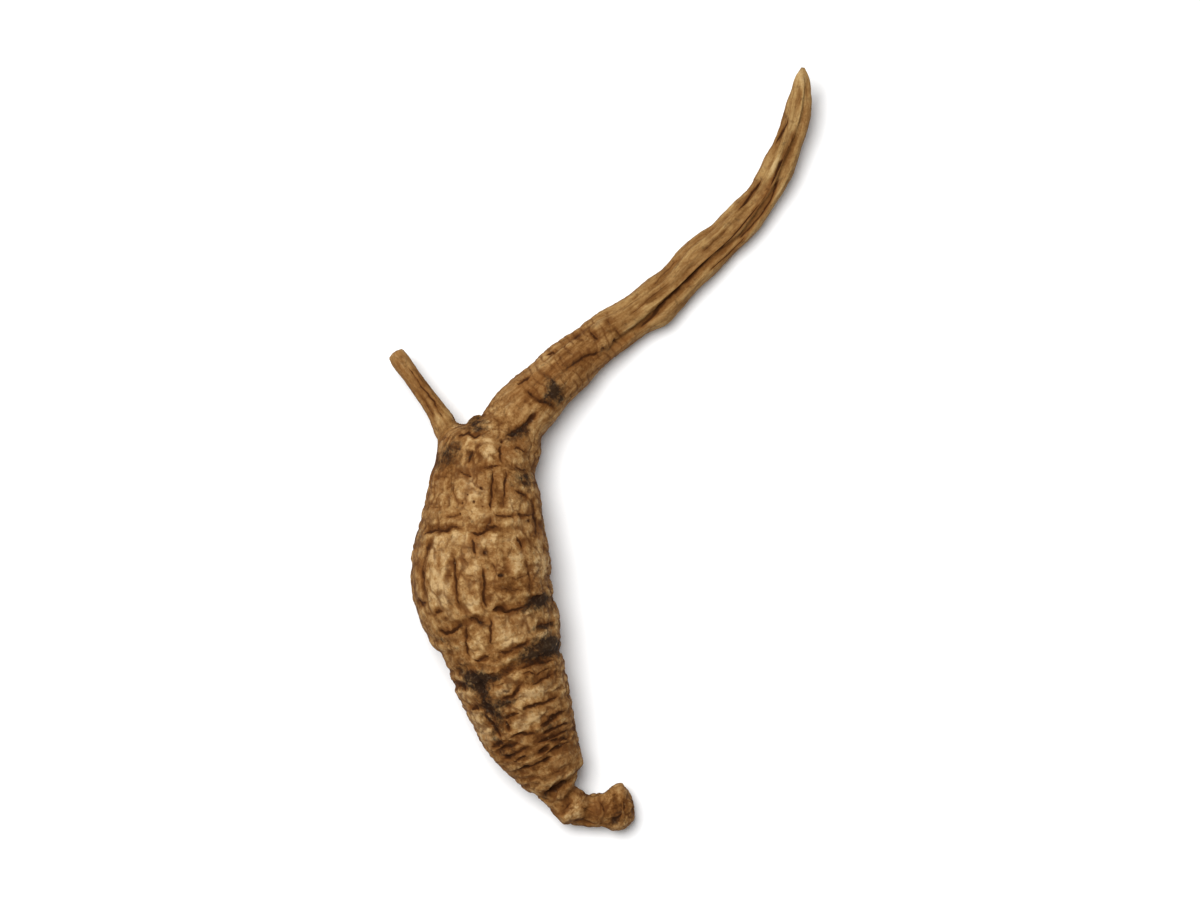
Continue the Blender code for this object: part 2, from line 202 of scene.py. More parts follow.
def broad_relief(along, angle, radius):
    """What the trunk's radius gains or loses: knuckles on the neck, hollows on the body, and waves
    and folds on the tail, each as sines and bell curves, eased into the next. The belly is plain.
    """
    on_body, on_tail = along - BODY_START, along - TAIL_START
    knuckles = KNUCKLE_HEIGHT * np.sin(on_body / KNUCKLE_WAVE + 1.2 * np.sin(angle + 0.6))
    hollows = [*crease_depths(on_body, angle)]
    hollows += furrow_depths(BODY_FURROWS, on_body, angle, radius)
    from_under = np.abs(turn_between(angle, BELLY_SIDE))
    belly = 1.0 - ease(from_under, BELLY_SPREAD, BELLY_SPREAD + BELLY_SPREAD_FADE)
    from_belly = np.abs(on_body - BELLY_ALONG)
    belly = belly * (1.0 - ease(from_belly, BELLY_REACH, BELLY_REACH + BELLY_REACH_FADE))
    waves = TAIL_WAVE_HEIGHT * np.sin(on_tail / TAIL_WAVE + 1.4 * np.sin(angle))
    folds = waves - deepest(furrow_depths(TAIL_FURROWS, on_tail, angle, radius))
    past_neck, past_body = ease(on_body, -0.8 * MM, 0.3 * MM), ease(on_tail, -1.0 * MM, 0.6 * MM)
    relief = knuckles * (1.0 - past_neck) - deepest(hollows) * (1.0 - belly) * past_neck
    relief = relief * (1.0 - past_body) + folds * past_body
    return relief * np.minimum(1.0, radius / THIN_RADIUS)


def limb_point(stations, along, angle, relief):
    """Points of a limb: centre + side * half width * cos + top * half height * sin, plus relief."""
    values = read_stations(stations, along)
    centre, half_width, half_height = values[:, :3], values[:, 3], values[:, 4]
    end = distances(stations)[-1]
    ahead = read_stations(stations, np.minimum(along + HEADING_REACH, end))
    behind = read_stations(stations, np.maximum(along - HEADING_REACH, 0.0))
    forward = ahead[:, :3] - behind[:, :3]
    side = np.cross(forward, (0.0, 0.0, 1.0))
    side /= np.linalg.norm(side, axis=1, keepdims=True)
    top = np.cross(side, forward)
    top /= np.linalg.norm(top, axis=1, keepdims=True)
    push = relief(along, angle, 0.5 * (half_width + half_height))
    across, upward = (half_width + push) * np.cos(angle), (half_height + push) * np.sin(angle)
    return centre + across[:, None] * side + upward[:, None] * top


def limb_normal(stations, along, angle, relief):
    """Outward directions: the slope along the limb crossed with the slope round it."""
    step, turn = 0.04 * MM, 0.01
    along_low, along_high = np.maximum(along - step, 0.0), along + step
    forward = limb_point(stations, along_high, angle, relief)
    forward = forward - limb_point(stations, along_low, angle, relief)
    around = limb_point(stations, along, angle + turn, relief)
    around = around - limb_point(stations, along, angle - turn, relief)
    normal = np.cross(forward, around)
    return normal / np.maximum(np.linalg.norm(normal, axis=1, keepdims=True), 1e-12)


# The larger cracks of the upper side, which opened between blocks of skin as the root dried, and
# the pores. Millimetres: a crack is a half width, a depth, a darkness, and x, y of the points that
# it runs through, seen from above. A pore is x, y and its size.
CRACKS = (
    # the fork and the upper body
    (0.29, 0.29, 1.0, (-9.2, 1.3, -8.3, 1.6, -7.6, 2.0, -6.8, 2.6, -6.1, 3.4, -5.8, 4.0)),
    (0.19, 0.14, 0.8, (-9.3, 0.9, -9.5, 0.2, -9.4, -0.8, -9.1, -1.5)),
    (0.13, 0.1, 0.8, (-11.7, -1.9, -10.9, -1.6, -10.2, -1.5, -9.6, -1.35, -9.0, -1.6)),
    (0.14, 0.11, 0.7, (-14.4, -1.7, -13.4, -2.0, -12.6, -2.4, -11.6, -2.9)),
    (0.14, 0.15, 0.95, (-10.15, -1.6, -10.15, -3.0, -10.3, -4.4, -10.4, -5.6, -10.3, -6.1)),
    (0.14, 0.12, 0.8, (-9.2, -1.5, -8.9, -2.2, -9.0, -3.5, -9.2, -5.0, -9.3, -5.9)),
    (0.14, 0.12, 0.75, (-10.4, -5.8, -9.6, -6.2, -8.8, -6.3, -7.6, -6.1, -6.5, -6.2, -5.6, -6.0)),
    (0.19, 0.19, 0.95, (-10.3, -6.0, -10.4, -6.6, -10.7, -7.2, -11.1, -7.7)),
    (0.15, 0.17, 0.8, (-17.4, -8.2, -16.3, -7.7, -15.4, -7.5, -14.7, -7.6, -14.2, -7.2, -13.4, -7.3,
        -12.8, -7.6)),
    (0.18, 0.19, 0.95, (-12.8, -7.6, -12.2, -7.75, -11.6, -7.9, -11.0, -7.7, -10.5, -7.4,
        -9.8, -7.3, -9.1, -7.6)),
    (0.12, 0.06, 0.45, (-14.2, -1.6, -14.3, -3.0, -14.3, -4.8)),
    (0.11, 0.07, 0.5, (-16.2, -2.7, -15.2, -2.5, -14.4, -2.6)),
    (0.11, 0.07, 0.5, (-16.7, -5.3, -15.7, -5.5, -15.0, -5.3)),
    (0.12, 0.09, 0.7, (-15.2, -6.5, -14.3, -6.3, -13.7, -6.2, -13.1, -5.8)),
    (0.14, 0.11, 0.8, (-8.4, -3.5, -7.6, -4.0, -6.9, -4.3, -6.5, -5.0)),
    (0.13, 0.12, 0.8, (-6.6, -4.2, -6.2, -5.2, -6.1, -6.4, -5.9, -7.6, -6.0, -8.8)),
    (0.15, 0.12, 0.75, (-12.1, 0.4, -12.4, -0.5, -12.6, -1.6)),
    (0.12, 0.09, 0.7, (-15.0, 0.2, -14.2, 0.45, -13.5, 0.1, -12.8, 0.1)),
    (0.15, 0.14, 0.9, (-13.8, 2.2, -13.2, 1.5, -12.6, 1.9, -11.9, 1.3, -11.0, 1.9)),
    (0.12, 0.07, 0.6, (-15.6, 0.9, -14.9, 1.3, -14.2, 1.2)),
    (0.11, 0.06, 0.5, (-11.5, 1.0, -11.6, 0.0, -11.4, -1.0)),
    (0.13, 0.09, 0.7, (-8.6, -0.1, -7.8, 0.3, -7.2, -0.2, -6.5, 0.0)),
    (0.13, 0.07, 0.6, (-8.6, -1.8, -7.8, -1.6, -7.0, -1.9, -6.4, -1.6)),
    # the middle of the body
    (0.17, 0.17, 0.8, (-14.0, -9.6, -13.9, -11.0, -13.8, -12.0, -13.75, -13.0, -13.7, -14.2,
        -13.3, -15.3)),
    (0.12, 0.07, 0.6, (-14.9, -12.0, -14.4, -11.9, -13.9, -12.1)),
    (0.17, 0.16, 0.85, (-12.1, -7.9, -12.1, -8.8, -11.9, -9.6, -11.8, -10.5)),
    (0.18, 0.18, 0.85, (-11.3, -10.7, -11.0, -11.6, -10.8, -12.6, -11.0, -13.4, -10.9, -14.4,
        -10.6, -15.4)),
    (0.2, 0.22, 1.0, (-10.6, -15.5, -9.6, -15.1, -8.6, -15.3, -7.6, -15.1, -6.8, -14.7, -6.2, -14.2,
        -5.4, -14.0, -4.8, -13.9)),
    (0.2, 0.16, 1.0, (-9.9, -11.9, -9.3, -11.85, -9.0, -12.1)),
    (0.12, 0.07, 0.6, (-9.0, -12.1, -8.3, -12.1, -8.0, -12.3, -7.2, -12.0, -6.7, -11.6)),
    (0.19, 0.14, 0.95, (-11.1, -9.4, -10.7, -9.85)),
    (0.15, 0.14, 0.9, (-7.9, -7.9, -7.6, -8.8, -7.2, -9.7)),
    (0.14, 0.1, 0.55, (-7.2, -9.7, -6.8, -10.7, -6.6, -12.0, -6.6, -13.3, -6.3, -14.1)),
    (0.12, 0.06, 0.5, (-8.7, -8.6, -8.5, -9.6, -9.0, -10.4, -9.9, -10.6)),
    (0.15, 0.12, 0.65, (-16.2, -7.9, -16.4, -9.0, -16.7, -10.0, -17.1, -11.4, -16.9, -12.8,
        -16.6, -14.0)),
    (0.15, 0.12, 0.9, (-17.8, -14.2, -17.1, -14.7, -16.5, -14.4)),
    (0.15, 0.16, 0.95, (-16.2, -15.9, -15.8, -15.6, -15.4, -15.3, -14.8, -15.2)),
    (0.2, 0.22, 1.0, (-16.0, -17.1, -14.8, -17.5, -14.2, -17.3, -13.6, -16.9, -13.1, -16.5,
        -12.8, -16.0)),
    (0.16, 0.14, 0.75, (-12.85, -16.1, -12.8, -17.0, -12.8, -18.0, -12.7, -19.0, -12.4, -20.2)),
    (0.17, 0.15, 0.95, (-12.8, -16.2, -11.8, -16.1, -11.3, -16.5, -10.5, -16.2)),
    (0.15, 0.15, 0.8, (-10.6, -15.4, -10.4, -16.4, -10.4, -17.4, -10.4, -18.3, -10.1, -19.0)),
    (0.17, 0.2, 0.95, (-10.1, -19.1, -9.0, -19.3, -8.0, -18.9, -7.0, -18.4, -6.2, -17.8)),
    (0.15, 0.15, 0.9, (-12.5, -19.8, -11.6, -20.1, -10.8, -19.6, -10.1, -19.1)),
    (0.15, 0.15, 1.0, (-6.3, -17.0, -5.4, -16.7, -4.6, -16.5, -3.9, -16.4)),
    (0.1, 0.05, 0.5, (-8.8, -15.9, -8.2, -16.2, -8.5, -16.8)),
    (0.11, 0.06, 0.55, (-13.4, -10.2, -12.6, -10.6, -12.0, -10.4)),
    (0.1, 0.06, 0.5, (-13.2, -12.1, -12.2, -11.9, -11.5, -12.2)),
    (0.1, 0.06, 0.5, (-13.0, -13.6, -12.2, -13.5, -11.4, -13.8)),
    (0.11, 0.06, 0.6, (-10.4, -13.0, -9.2, -13.2, -7.9, -13.3, -6.8, -13.2)),
    (0.11, 0.06, 0.5, (-14.6, -18.2, -14.3, -19.0, -14.0, -19.9)),
    (0.1, 0.05, 0.45, (-15.3, -9.0, -15.5, -10.6, -15.2, -11.9)),
    (0.12, 0.07, 0.6, (-10.4, -10.4, -10.0, -11.2, -9.9, -11.9)),
    # the ringed lower body
    (0.22, 0.21, 1.0, (-12.8, -20.4, -12.0, -21.6, -11.3, -22.1, -11.3, -23.0, -11.1, -24.2,
        -10.5, -25.0, -9.9, -26.0)),
    (0.2, 0.2, 1.0, (-11.2, -21.7, -10.4, -21.5, -9.7, -21.2)),
    (0.16, 0.17, 0.8, (-9.7, -21.2, -9.0, -21.0, -8.3, -20.7, -7.6, -20.2)),
    (0.18, 0.2, 0.9, (-7.9, -20.6, -7.3, -20.6, -6.3, -20.2, -5.2, -20.0, -3.8, -19.9)),
    (0.19, 0.2, 1.0, (-9.9, -23.6, -9.0, -23.7, -8.3, -23.5, -7.9, -22.9, -7.6, -22.4,
        -7.0, -22.2)),
    (0.17, 0.16, 0.85, (-7.0, -22.2, -6.3, -22.3, -5.5, -21.9, -4.7, -21.5, -3.7, -21.1)),
    (0.13, 0.1, 0.75, (-8.0, -21.3, -6.6, -21.1, -5.9, -21.4, -5.0, -20.9, -4.0, -20.7)),
    (0.2, 0.17, 1.0, (-7.7, -24.9, -6.8, -24.5, -6.0, -24.3, -5.2, -24.1, -4.4, -23.7,
        -3.5, -23.3)),
    (0.18, 0.16, 0.98, (-9.6, -25.7, -8.6, -25.4, -7.9, -25.1, -7.4, -25.0)),
    (0.23, 0.2, 1.0, (-6.1, -26.6, -5.2, -26.2, -4.6, -25.8, -4.0, -25.3, -3.4, -25.0,
        -2.7, -24.8)),
    (0.18, 0.17, 1.0, (-9.1, -27.6, -8.4, -27.4, -7.6, -27.1, -6.8, -27.1, -6.2, -27.0,
        -5.5, -26.9)),
    (0.18, 0.17, 1.0, (-5.8, -27.5, -5.2, -27.1, -4.6, -26.8, -4.0, -26.5, -3.2, -26.2,
        -2.5, -26.0)),
    (0.18, 0.16, 0.98, (-8.9, -27.1, -8.8, -26.3, -9.2, -25.6)),
    (0.18, 0.2, 1.0, (-10.3, -29.2, -9.7, -28.8, -9.2, -28.4, -8.6, -28.3, -8.1, -28.0,
        -7.4, -28.2)),
    (0.17, 0.16, 0.98, (-10.9, -28.5, -10.0, -28.3, -9.3, -27.9, -8.8, -27.6)),
    (0.18, 0.2, 1.0, (-9.9, -29.9, -9.0, -29.5, -8.2, -29.2, -7.6, -28.8, -6.9, -28.5,
        -6.2, -28.4)),
    (0.18, 0.18, 1.0, (-6.2, -29.3, -5.6, -28.9, -5.0, -28.5, -4.4, -28.3)),
    (0.18, 0.18, 1.0, (-5.3, -29.3, -4.5, -28.8, -3.8, -28.4, -3.0, -28.1, -2.3, -27.9)),
    (0.18, 0.18, 1.0, (-8.2, -30.9, -7.2, -30.5, -6.4, -30.3, -5.6, -29.9, -4.8, -29.5,
        -4.1, -29.2)),
    (0.16, 0.15, 1.0, (-6.6, -28.1, -5.8, -27.9, -5.0, -27.6, -4.2, -27.3, -3.4, -27.0,
        -2.5, -26.7)),
    (0.14, 0.12, 0.98, (-5.3, -28.1, -4.6, -27.9, -3.9, -27.8, -3.2, -27.6, -2.4, -27.3)),
    (0.14, 0.12, 0.92, (-8.9, -30.1, -8.1, -29.8, -7.3, -29.4, -6.6, -29.1)),
    (0.18, 0.15, 1.0, (-12.7, -24.9, -12.0, -24.6, -11.3, -24.7)),
    (0.18, 0.15, 0.98, (-11.3, -24.8, -10.9, -25.6, -10.2, -26.4, -9.7, -27.2, -9.3, -27.8)),
    (0.15, 0.14, 0.9, (-14.2, -22.3, -13.2, -22.6, -12.8, -23.3)),
    (0.11, 0.07, 0.6, (-10.9, -22.6, -10.0, -22.6, -9.2, -22.2, -8.5, -21.6)),
    (0.13, 0.07, 0.69, (-9.3, -24.6, -8.6, -24.3, -8.2, -23.7)),
    (0.12, 0.06, 0.57, (-7.3, -31.8, -6.3, -31.4, -5.6, -31.6, -4.6, -31.1)),
    (0.12, 0.06, 0.57, (-4.8, -30.3, -4.1, -30.9, -3.2, -30.7)),
    (0.1, 0.06, 0.45, (-13.3, -20.5, -13.6, -21.3, -13.2, -21.9)),
    # the neck
    (0.17, 0.26, 1.0, (-6.0, -33.4, -5.2, -33.1, -4.6, -32.8, -4.0, -32.4, -3.4, -32.0,
        -2.6, -31.6)),
    (0.13, 0.1, 0.8, (2.0, -33.4, 2.4, -33.9, 2.5, -34.5, 2.3, -35.0)),
    (0.17, 0.15, 1.0, (0.9, -36.1, 1.3, -35.7, 1.8, -35.2, 2.2, -34.8)),
    (0.12, 0.09, 0.7, (-0.3, -33.4, 0.2, -34.0, 0.4, -34.7, 0.9, -35.0)),
    (0.11, 0.06, 0.55, (-2.2, -34.0, -1.5, -34.4, -0.7, -34.8, -0.2, -35.6)),
    (0.12, 0.09, 0.7, (-4.3, -35.0, -3.6, -34.8, -3.0, -34.0, -2.4, -33.3)),
    (0.11, 0.07, 0.6, (-3.1, -36.2, -2.0, -35.7, -1.1, -36.0, -0.2, -36.3)),
    # the tail root
    (0.17, 0.14, 1.0, (-3.9, 3.5, -4.8, 4.4, -5.4, 4.6, -6.1, 5.0, -6.8, 5.6, -7.4, 6.3)),
    (0.12, 0.06, 0.57, (-7.8, 5.1, -6.9, 4.7, -6.2, 4.1)),
    (0.15, 0.1, 0.92, (-8.5, 6.6, -7.8, 6.4, -7.1, 6.9, -6.4, 7.5)),
    (0.17, 0.1, 0.92, (-3.7, 7.4, -2.8, 8.1, -2.0, 8.6, -1.3, 9.0, -0.4, 9.2, 0.4, 9.6)),
    (0.14, 0.1, 0.98, (-1.4, 11.7, -0.7, 11.1, -0.3, 10.7, 0.1, 10.3)),
    (0.13, 0.07, 0.8, (-2.8, 10.7, -2.2, 11.1, -1.8, 11.4)),
    (0.13, 0.07, 0.86, (-5.4, 9.1, -4.6, 9.5, -4.0, 9.4)),
    (0.12, 0.07, 0.69, (1.1, 12.2, 1.7, 11.3, 2.5, 10.4)),
    (0.12, 0.06, 0.63, (0.5, 13.0, 0.9, 12.3, 1.3, 11.9)),
    (0.13, 0.11, 0.97, (3.4, 11.5, 4.3, 12.2, 5.1, 12.9, 5.8, 13.7, 6.6, 14.5, 7.6, 15.4,
        8.4, 16.2)),
    (0.13, 0.12, 0.95, (7.6, 15.4, 8.4, 16.2, 9.3, 17.1, 10.2, 18.0, 11.0, 18.8, 12.1, 19.7)),
    (0.14, 0.13, 1.0, (10.8, 18.6, 11.8, 19.4, 12.7, 20.3, 13.4, 21.2, 14.2, 22.2, 15.0, 23.2,
        15.8, 24.2)),
    (0.12, 0.13, 1.0, (15.3, 23.5, 15.8, 24.2, 16.3, 25.2, 16.7, 26.3, 17.2, 27.3, 17.9, 28.5,
        18.5, 29.7, 18.9, 31.0)),
    (0.1, 0.07, 0.8, (10.2, 16.9, 11.3, 17.8, 12.4, 18.7, 13.4, 19.8, 14.4, 21.0)),
    (0.09, 0.08, 0.84, (13.0, 19.9, 14.0, 20.9, 14.9, 21.9, 15.6, 22.8, 16.3, 23.9, 16.9, 25.2,
        17.4, 26.4)),
    (0.1, 0.09, 0.97, (12.9, 22.9, 13.8, 23.8, 14.4, 24.6, 15.0, 25.4, 15.6, 26.4)),
    (0.09, 0.08, 0.9, (16.6, 29.0, 17.3, 30.4, 17.8, 31.4, 18.0, 32.4)),
    (0.09, 0.04, 0.48, (18.7, 32.4, 19.1, 33.8, 19.3, 35.3)),
    (0.09, 0.05, 0.6, (2.4, 12.6, 3.6, 13.6, 4.8, 14.6, 6.0, 15.5, 7.0, 16.4)),
    (0.09, 0.05, 0.55, (4.6, 15.4, 5.8, 16.7, 7.0, 18.0, 8.0, 18.8)),
    (0.09, 0.05, 0.55, (9.4, 18.6, 10.6, 19.6, 11.8, 20.7, 12.6, 21.6)),
    (0.09, 0.04, 0.48, (-9.6, 4.0, -8.4, 5.3, -7.2, 5.9)),
    (0.09, 0.04, 0.48, (-6.0, 6.8, -4.8, 7.6, -3.8, 9.0, -2.6, 9.8)),
    # the rootlet
    (0.11, 0.08, 0.8, (-14.8, 2.5, -15.25, 3.4, -16.0, 4.8, -16.8, 5.8, -17.65, 6.95, -18.6, 8.3)),
    (0.1, 0.06, 0.6, (-15.9, 2.4, -16.2, 3.4, -16.9, 4.6, -17.6, 5.6)),
    (0.1, 0.05, 0.55, (-16.0, 5.6, -17.1, 6.9, -18.0, 8.3)),
)
PORES = (
    (-13.1, -5.0, 0.24), (-12.0, -4.9, 0.26), (-11.3, -3.6, 0.24), (-13.3, -6.0, 0.18),
    (-13.8, -6.2, 0.16), (-6.7, -6.7, 0.26), (-9.35, 0.85, 0.3), (-11.5, -16.3, 0.35),
    (-4.6, 5.3, 0.35), (0.4, 9.7, 0.24), (1.5, 10.4, 0.32), (1.3, -35.8, 0.4), (5.9, 16.9, 0.2),
    (7.0, 18.3, 0.18), (10.9, 18.8, 0.2), (-11.2, -5.3, 0.15), (-12.6, -4.2, 0.13),
    (-13.5, 1.5, 0.25), (-7.1, -3.0, 0.35), (-9.4, -11.9, 0.32),
)
CORE_WIDTH, SKIRT_WIDTH, LINE_WIDTH, HALO_WIDTH, HALO_EXTRA = 0.8, 2.2, 1.05, 1.7, 0.15 * MM
CORE_SHARE, SKIRT_SHARE = 0.6, 0.25
TAPER_LENGTH, TAPER_SHARE, END_DEPTH, END_WIDTH = 1.1 * MM, 0.38, 0.15, 0.35
PORE_WIDTH, PORE_DEPTH, PORE_DARKNESS = 0.75, 0.35, 0.8


def lattice_random(corner, seed):
    """Numbers from -1 to 1 that belong to whole-number places, from mixing their bits."""
    mixed = corner[..., 0] * 374761393 + corner[..., 1] * 668265263
    mixed = (mixed + corner[..., 2] * 1440662683 + seed * 1013904223) & 0xFFFFFFFF
    mixed = ((mixed ^ (mixed >> 13)) * 1274126177) & 0xFFFFFFFF
    mixed = ((mixed ^ (mixed >> 15)) * 1103515245) & 0xFFFFFFFF
    return ((mixed ^ (mixed >> 16)) & 0xFFFF) / 32767.5 - 1.0


def lattice_noise(places, seed):
    """Gradient noise, about -0.7 to 0.7: random slopes at the lattice corners, blended between."""
    corner = np.floor(places).astype(np.int64)
    inside = places - corner
    weight = inside**3 * (inside * (inside * 6.0 - 15.0) + 10.0)
    total = np.zeros(len(places))
    for step in np.ndindex(2, 2, 2):
        step = np.array(step)
        offset = inside - step
        slope = sum(
            lattice_random(corner + step, seed + 17 * axis) * offset[:, axis] for axis in range(3)
        )
        share = np.prod(np.where(step == 1, weight, 1.0 - weight), axis=1)
        total += share * slope
    return total


def layered_noise(places, seed, layers):
    """Noise in layers, each half the size and a little over half the strength of the last."""
    return sum(0.55**n * lattice_noise(places * 2.0**n, seed + 31 * n) for n in range(layers))


def along_line(points, place):
    """How far each place is from a line through the points, and how far along it it lies."""
    away, run = np.full(len(place), 1.0), np.zeros(len(place))
    lengths = np.linalg.norm(np.diff(points, axis=0), axis=1)
    starts = np.concatenate([[0.0], np.cumsum(lengths)])
    for start, end, length, done in zip(points[:-1], points[1:], lengths, starts):
        share = np.clip((place - start) @ (end - start) / length**2, 0.0, 1.0)
        distance = np.linalg.norm(place - start - share[:, None] * (end - start), axis=1)
        closer = distance < away
        away = np.where(closer, distance, away)
        run = np.where(closer, done + share * length, run)
    return away, run, starts[-1]


def bell(away, width):
    """A bell curve: 1 on the line and about a third at the width from it."""
    return np.exp(-((away / width) ** 2))


def crack_marks(x, y):
    """Depth, darkness and halo of the upper side's cracks and pores, at places seen from above.

    A crack's depth falls off as a bell curve from its line, with a wider, shallower bell round it,
    and it tapers towards both ends. Its halo is the band of browner skin beside it. Noise makes it
    uneven, other than on the tail.
    """
    hollow, dark, halo = np.zeros(len(x)), np.zeros(len(x)), np.zeros(len(x))
    for half_width, depth, darkness, points in CRACKS:
        points = MM * np.array(points).reshape(-1, 2)
        low, high = points.min(axis=0) - MM, points.max(axis=0) + MM
        near = (x > low[0]) & (x < high[0]) & (y > low[1]) & (y < high[1])
        away, run, length = along_line(points, np.stack([x[near], y[near]], axis=1))
        from_end = np.minimum(run, length - run)
        taper = ease(from_end, 0.0, min(TAPER_LENGTH, TAPER_SHARE * length))
        taper = END_DEPTH + (1.0 - END_DEPTH) * taper
        width = half_width * MM * (END_WIDTH + (1.0 - END_WIDTH) * taper)
        bowl = CORE_SHARE * bell(away, CORE_WIDTH * width)
        bowl += SKIRT_SHARE * bell(away, SKIRT_WIDTH * width)
        hollow[near] += (depth * MM * taper * bowl) ** 3
        line = bell(away, LINE_WIDTH * width)
        dark[near] = np.maximum(dark[near], darkness * taper * line)
        beside = bell(away, HALO_WIDTH * width + HALO_EXTRA)
        halo[near] = np.maximum(halo[near], darkness * taper * beside)
    uneven = lattice_noise(np.stack([x, y, 0.0 * x], axis=1) / (1.1 * MM), 45)
    uneven = np.clip(1.0 + 0.9 * uneven, 0.72, 1.0)
    uneven = np.maximum(uneven, ease(y, 5.0 * MM, 12.0 * MM))
    hollow, dark = hollow * uneven**3, dark * uneven
    for pore_x, pore_y, size in PORES:
        pit = bell(np.hypot(x - pore_x * MM, y - pore_y * MM), PORE_WIDTH * size * MM)
        hollow += (PORE_DEPTH * size * MM * pit) ** 3
        dark = np.maximum(dark, PORE_DARKNESS * pit)
    return np.cbrt(hollow), dark, halo


# The blocks of skin round the sides and underneath, which the photo doesn't show one by one. They
# shrank apart in bands round the root, and each band split along it at its own uneven places.
BAND_PLACES = MM * np.array([-10.0, 0.0, 14.0, 20.0, 36.0, 96.0])
BAND_NUMBERS = np.array([-10.0, 0.0, 14.0, 17.5, 26.0, 50.0])
BLOCKS_ROUND = 9
BAND_CRACK_WIDTH, SPLIT_WIDTH = 0.17 * MM, 0.15 * MM


def bent(values, places, amount, size, seed):
    """Adds to the values a slow wander, noise of the given size at the places."""
    return values + amount * lattice_noise(places / size, seed)


def own_random(numbers, seed):
    """Numbers from -1 to 1 that belong to whole numbers."""
    corner = np.stack([numbers, 0 * numbers, 0 * numbers], axis=-1).astype(np.int64)
    return lattice_random(corner, seed)


def block_cracks(along, angle, radius, places):
    """How much of a crack is at each place between the skin's blocks, from 0 to 1.

    Band edges are near whole numbers of a coordinate along the root, and a band's splits are near
    whole numbers of a coordinate round it. Some of the splits are left out.
    """
    band = bent(np.interp(along - BODY_START, BAND_PLACES, BAND_NUMBERS), places, 0.5, 3.0 * MM, 3)
    band_length = np.gradient(BAND_PLACES, BAND_NUMBERS).mean()
    low = np.floor(band)
    low_edge, high_edge = low + 0.3 * own_random(low, 5), low + 1.0 + 0.3 * own_random(low + 1.0, 5)
    number = low + (band > high_edge) - (band < low_edge)
    edge_away = np.minimum(np.abs(band - low_edge), np.abs(band - high_edge)) * band_length
    turn = angle / (2.0 * math.pi) * BLOCKS_ROUND + 3.0 * own_random(number, 7)
    turn = bent(turn, places, 0.35, 1.6 * MM, 9) % BLOCKS_ROUND
    split = np.round(turn)
    split_key = number * 64.0 + split % BLOCKS_ROUND
    split_away = np.abs(turn - split - 0.25 * own_random(split_key, 11))
    split_away = split_away * 2.0 * math.pi * radius / BLOCKS_ROUND
    kept = ease(own_random(split_key, 13), -0.5, -0.2)
    edge = bell(edge_away, BAND_CRACK_WIDTH)
    edge = edge * ease(lattice_noise(places / (1.8 * MM), 15), -0.25, 0.1)
    return np.maximum(edge, kept * bell(split_away, SPLIT_WIDTH))


# The small cobbles that the skin shrank into between its larger cracks: short and wide in the rings
# near the neck and at the tail's base, longer on the body, and long and narrow down the tail.
COBBLE_PLACES = MM * np.array([-12.0, 0.0, 8.0, 16.0, 36.0, 50.0, 56.0, 90.0])
COBBLE_NUMBERS = np.array([-10.0, 0.0, 9.4, 16.7, 28.5, 43.2, 46.2, 55.9])
COBBLE_WIDTHS = MM * np.array([1.2, 2.3, 2.5, 1.5, 1.3, 1.7, 0.9, 0.7])
COBBLE_BEND, COBBLE_CRACK_WIDTH, COBBLE_EDGE = 0.55, 0.15, 0.55


def cobble_edges(along, places):
    """How much of a thin crack between cobbles is at each place, and how high in its cobble it is.

    Each cell of a lattice holds one random point, and a crack runs where the two nearest of these
    points are equally far. Slow noise bends the lattice and leaves out part of the cracks.
    """
    on_body = along - BODY_START
    width = np.interp(on_body, COBBLE_PLACES, COBBLE_WIDTHS)
    number = np.interp(on_body, COBBLE_PLACES, COBBLE_NUMBERS)
    cells = np.stack([number, places[:, 1] / width, places[:, 2] / width], axis=1)
    for axis, seed in enumerate((91, 93, 95)):
        cells[:, axis] += COBBLE_BEND * layered_noise(places / (1.3 * MM), seed, 2)
    corner = np.floor(cells).astype(np.int64)
    nearest, second = np.full(len(cells), 9.0), np.full(len(cells), 9.0)
    for step in np.ndindex(3, 3, 3):
        cell = corner + np.array(step) - 1
        point = [lattice_random(cell, 97 + axis) for axis in range(3)]
        away = np.linalg.norm(cells - cell - 0.5 - 0.4 * np.stack(point, axis=1), axis=1)
        second = np.minimum(second, np.maximum(nearest, away))
        nearest = np.minimum(nearest, away)
    gap = second - nearest
    kept = ease(layered_noise(places / (2.2 * MM), 101, 2), -0.30, 0.22)
    return kept * bell(gap, COBBLE_CRACK_WIDTH), ease(gap, 0.0, COBBLE_EDGE)


# The fine folds across the base of the tail, where the skin wrinkled up as the tail grew shorter.
FOLD_SPACING, FOLD_WIDTH = 0.78 * MM, 0.10 * MM


def tail_folds(along, angle, places):
    """How much of a fine fold across the tail's base is at each place, from 0 to 1.

    Folds lie near whole numbers of the distance along, bent by slow noise that also breaks them.
    """
    on_tail = along - TAIL_START
    number = on_tail / FOLD_SPACING + 0.25 * np.sin(angle + 0.8)
    number = number + 0.9 * layered_noise(places / (1.8 * MM), 111, 2)
    away = np.abs(number - np.round(number)) * FOLD_SPACING
    kept = ease(lattice_noise(places / (1.1 * MM), 113), -0.28, 0.05)
    reach = ease(on_tail, 0.5 * MM, 3.0 * MM) * (1.0 - ease(on_tail, 11.0 * MM, 15.5 * MM))
    return reach * kept * bell(away, FOLD_WIDTH)


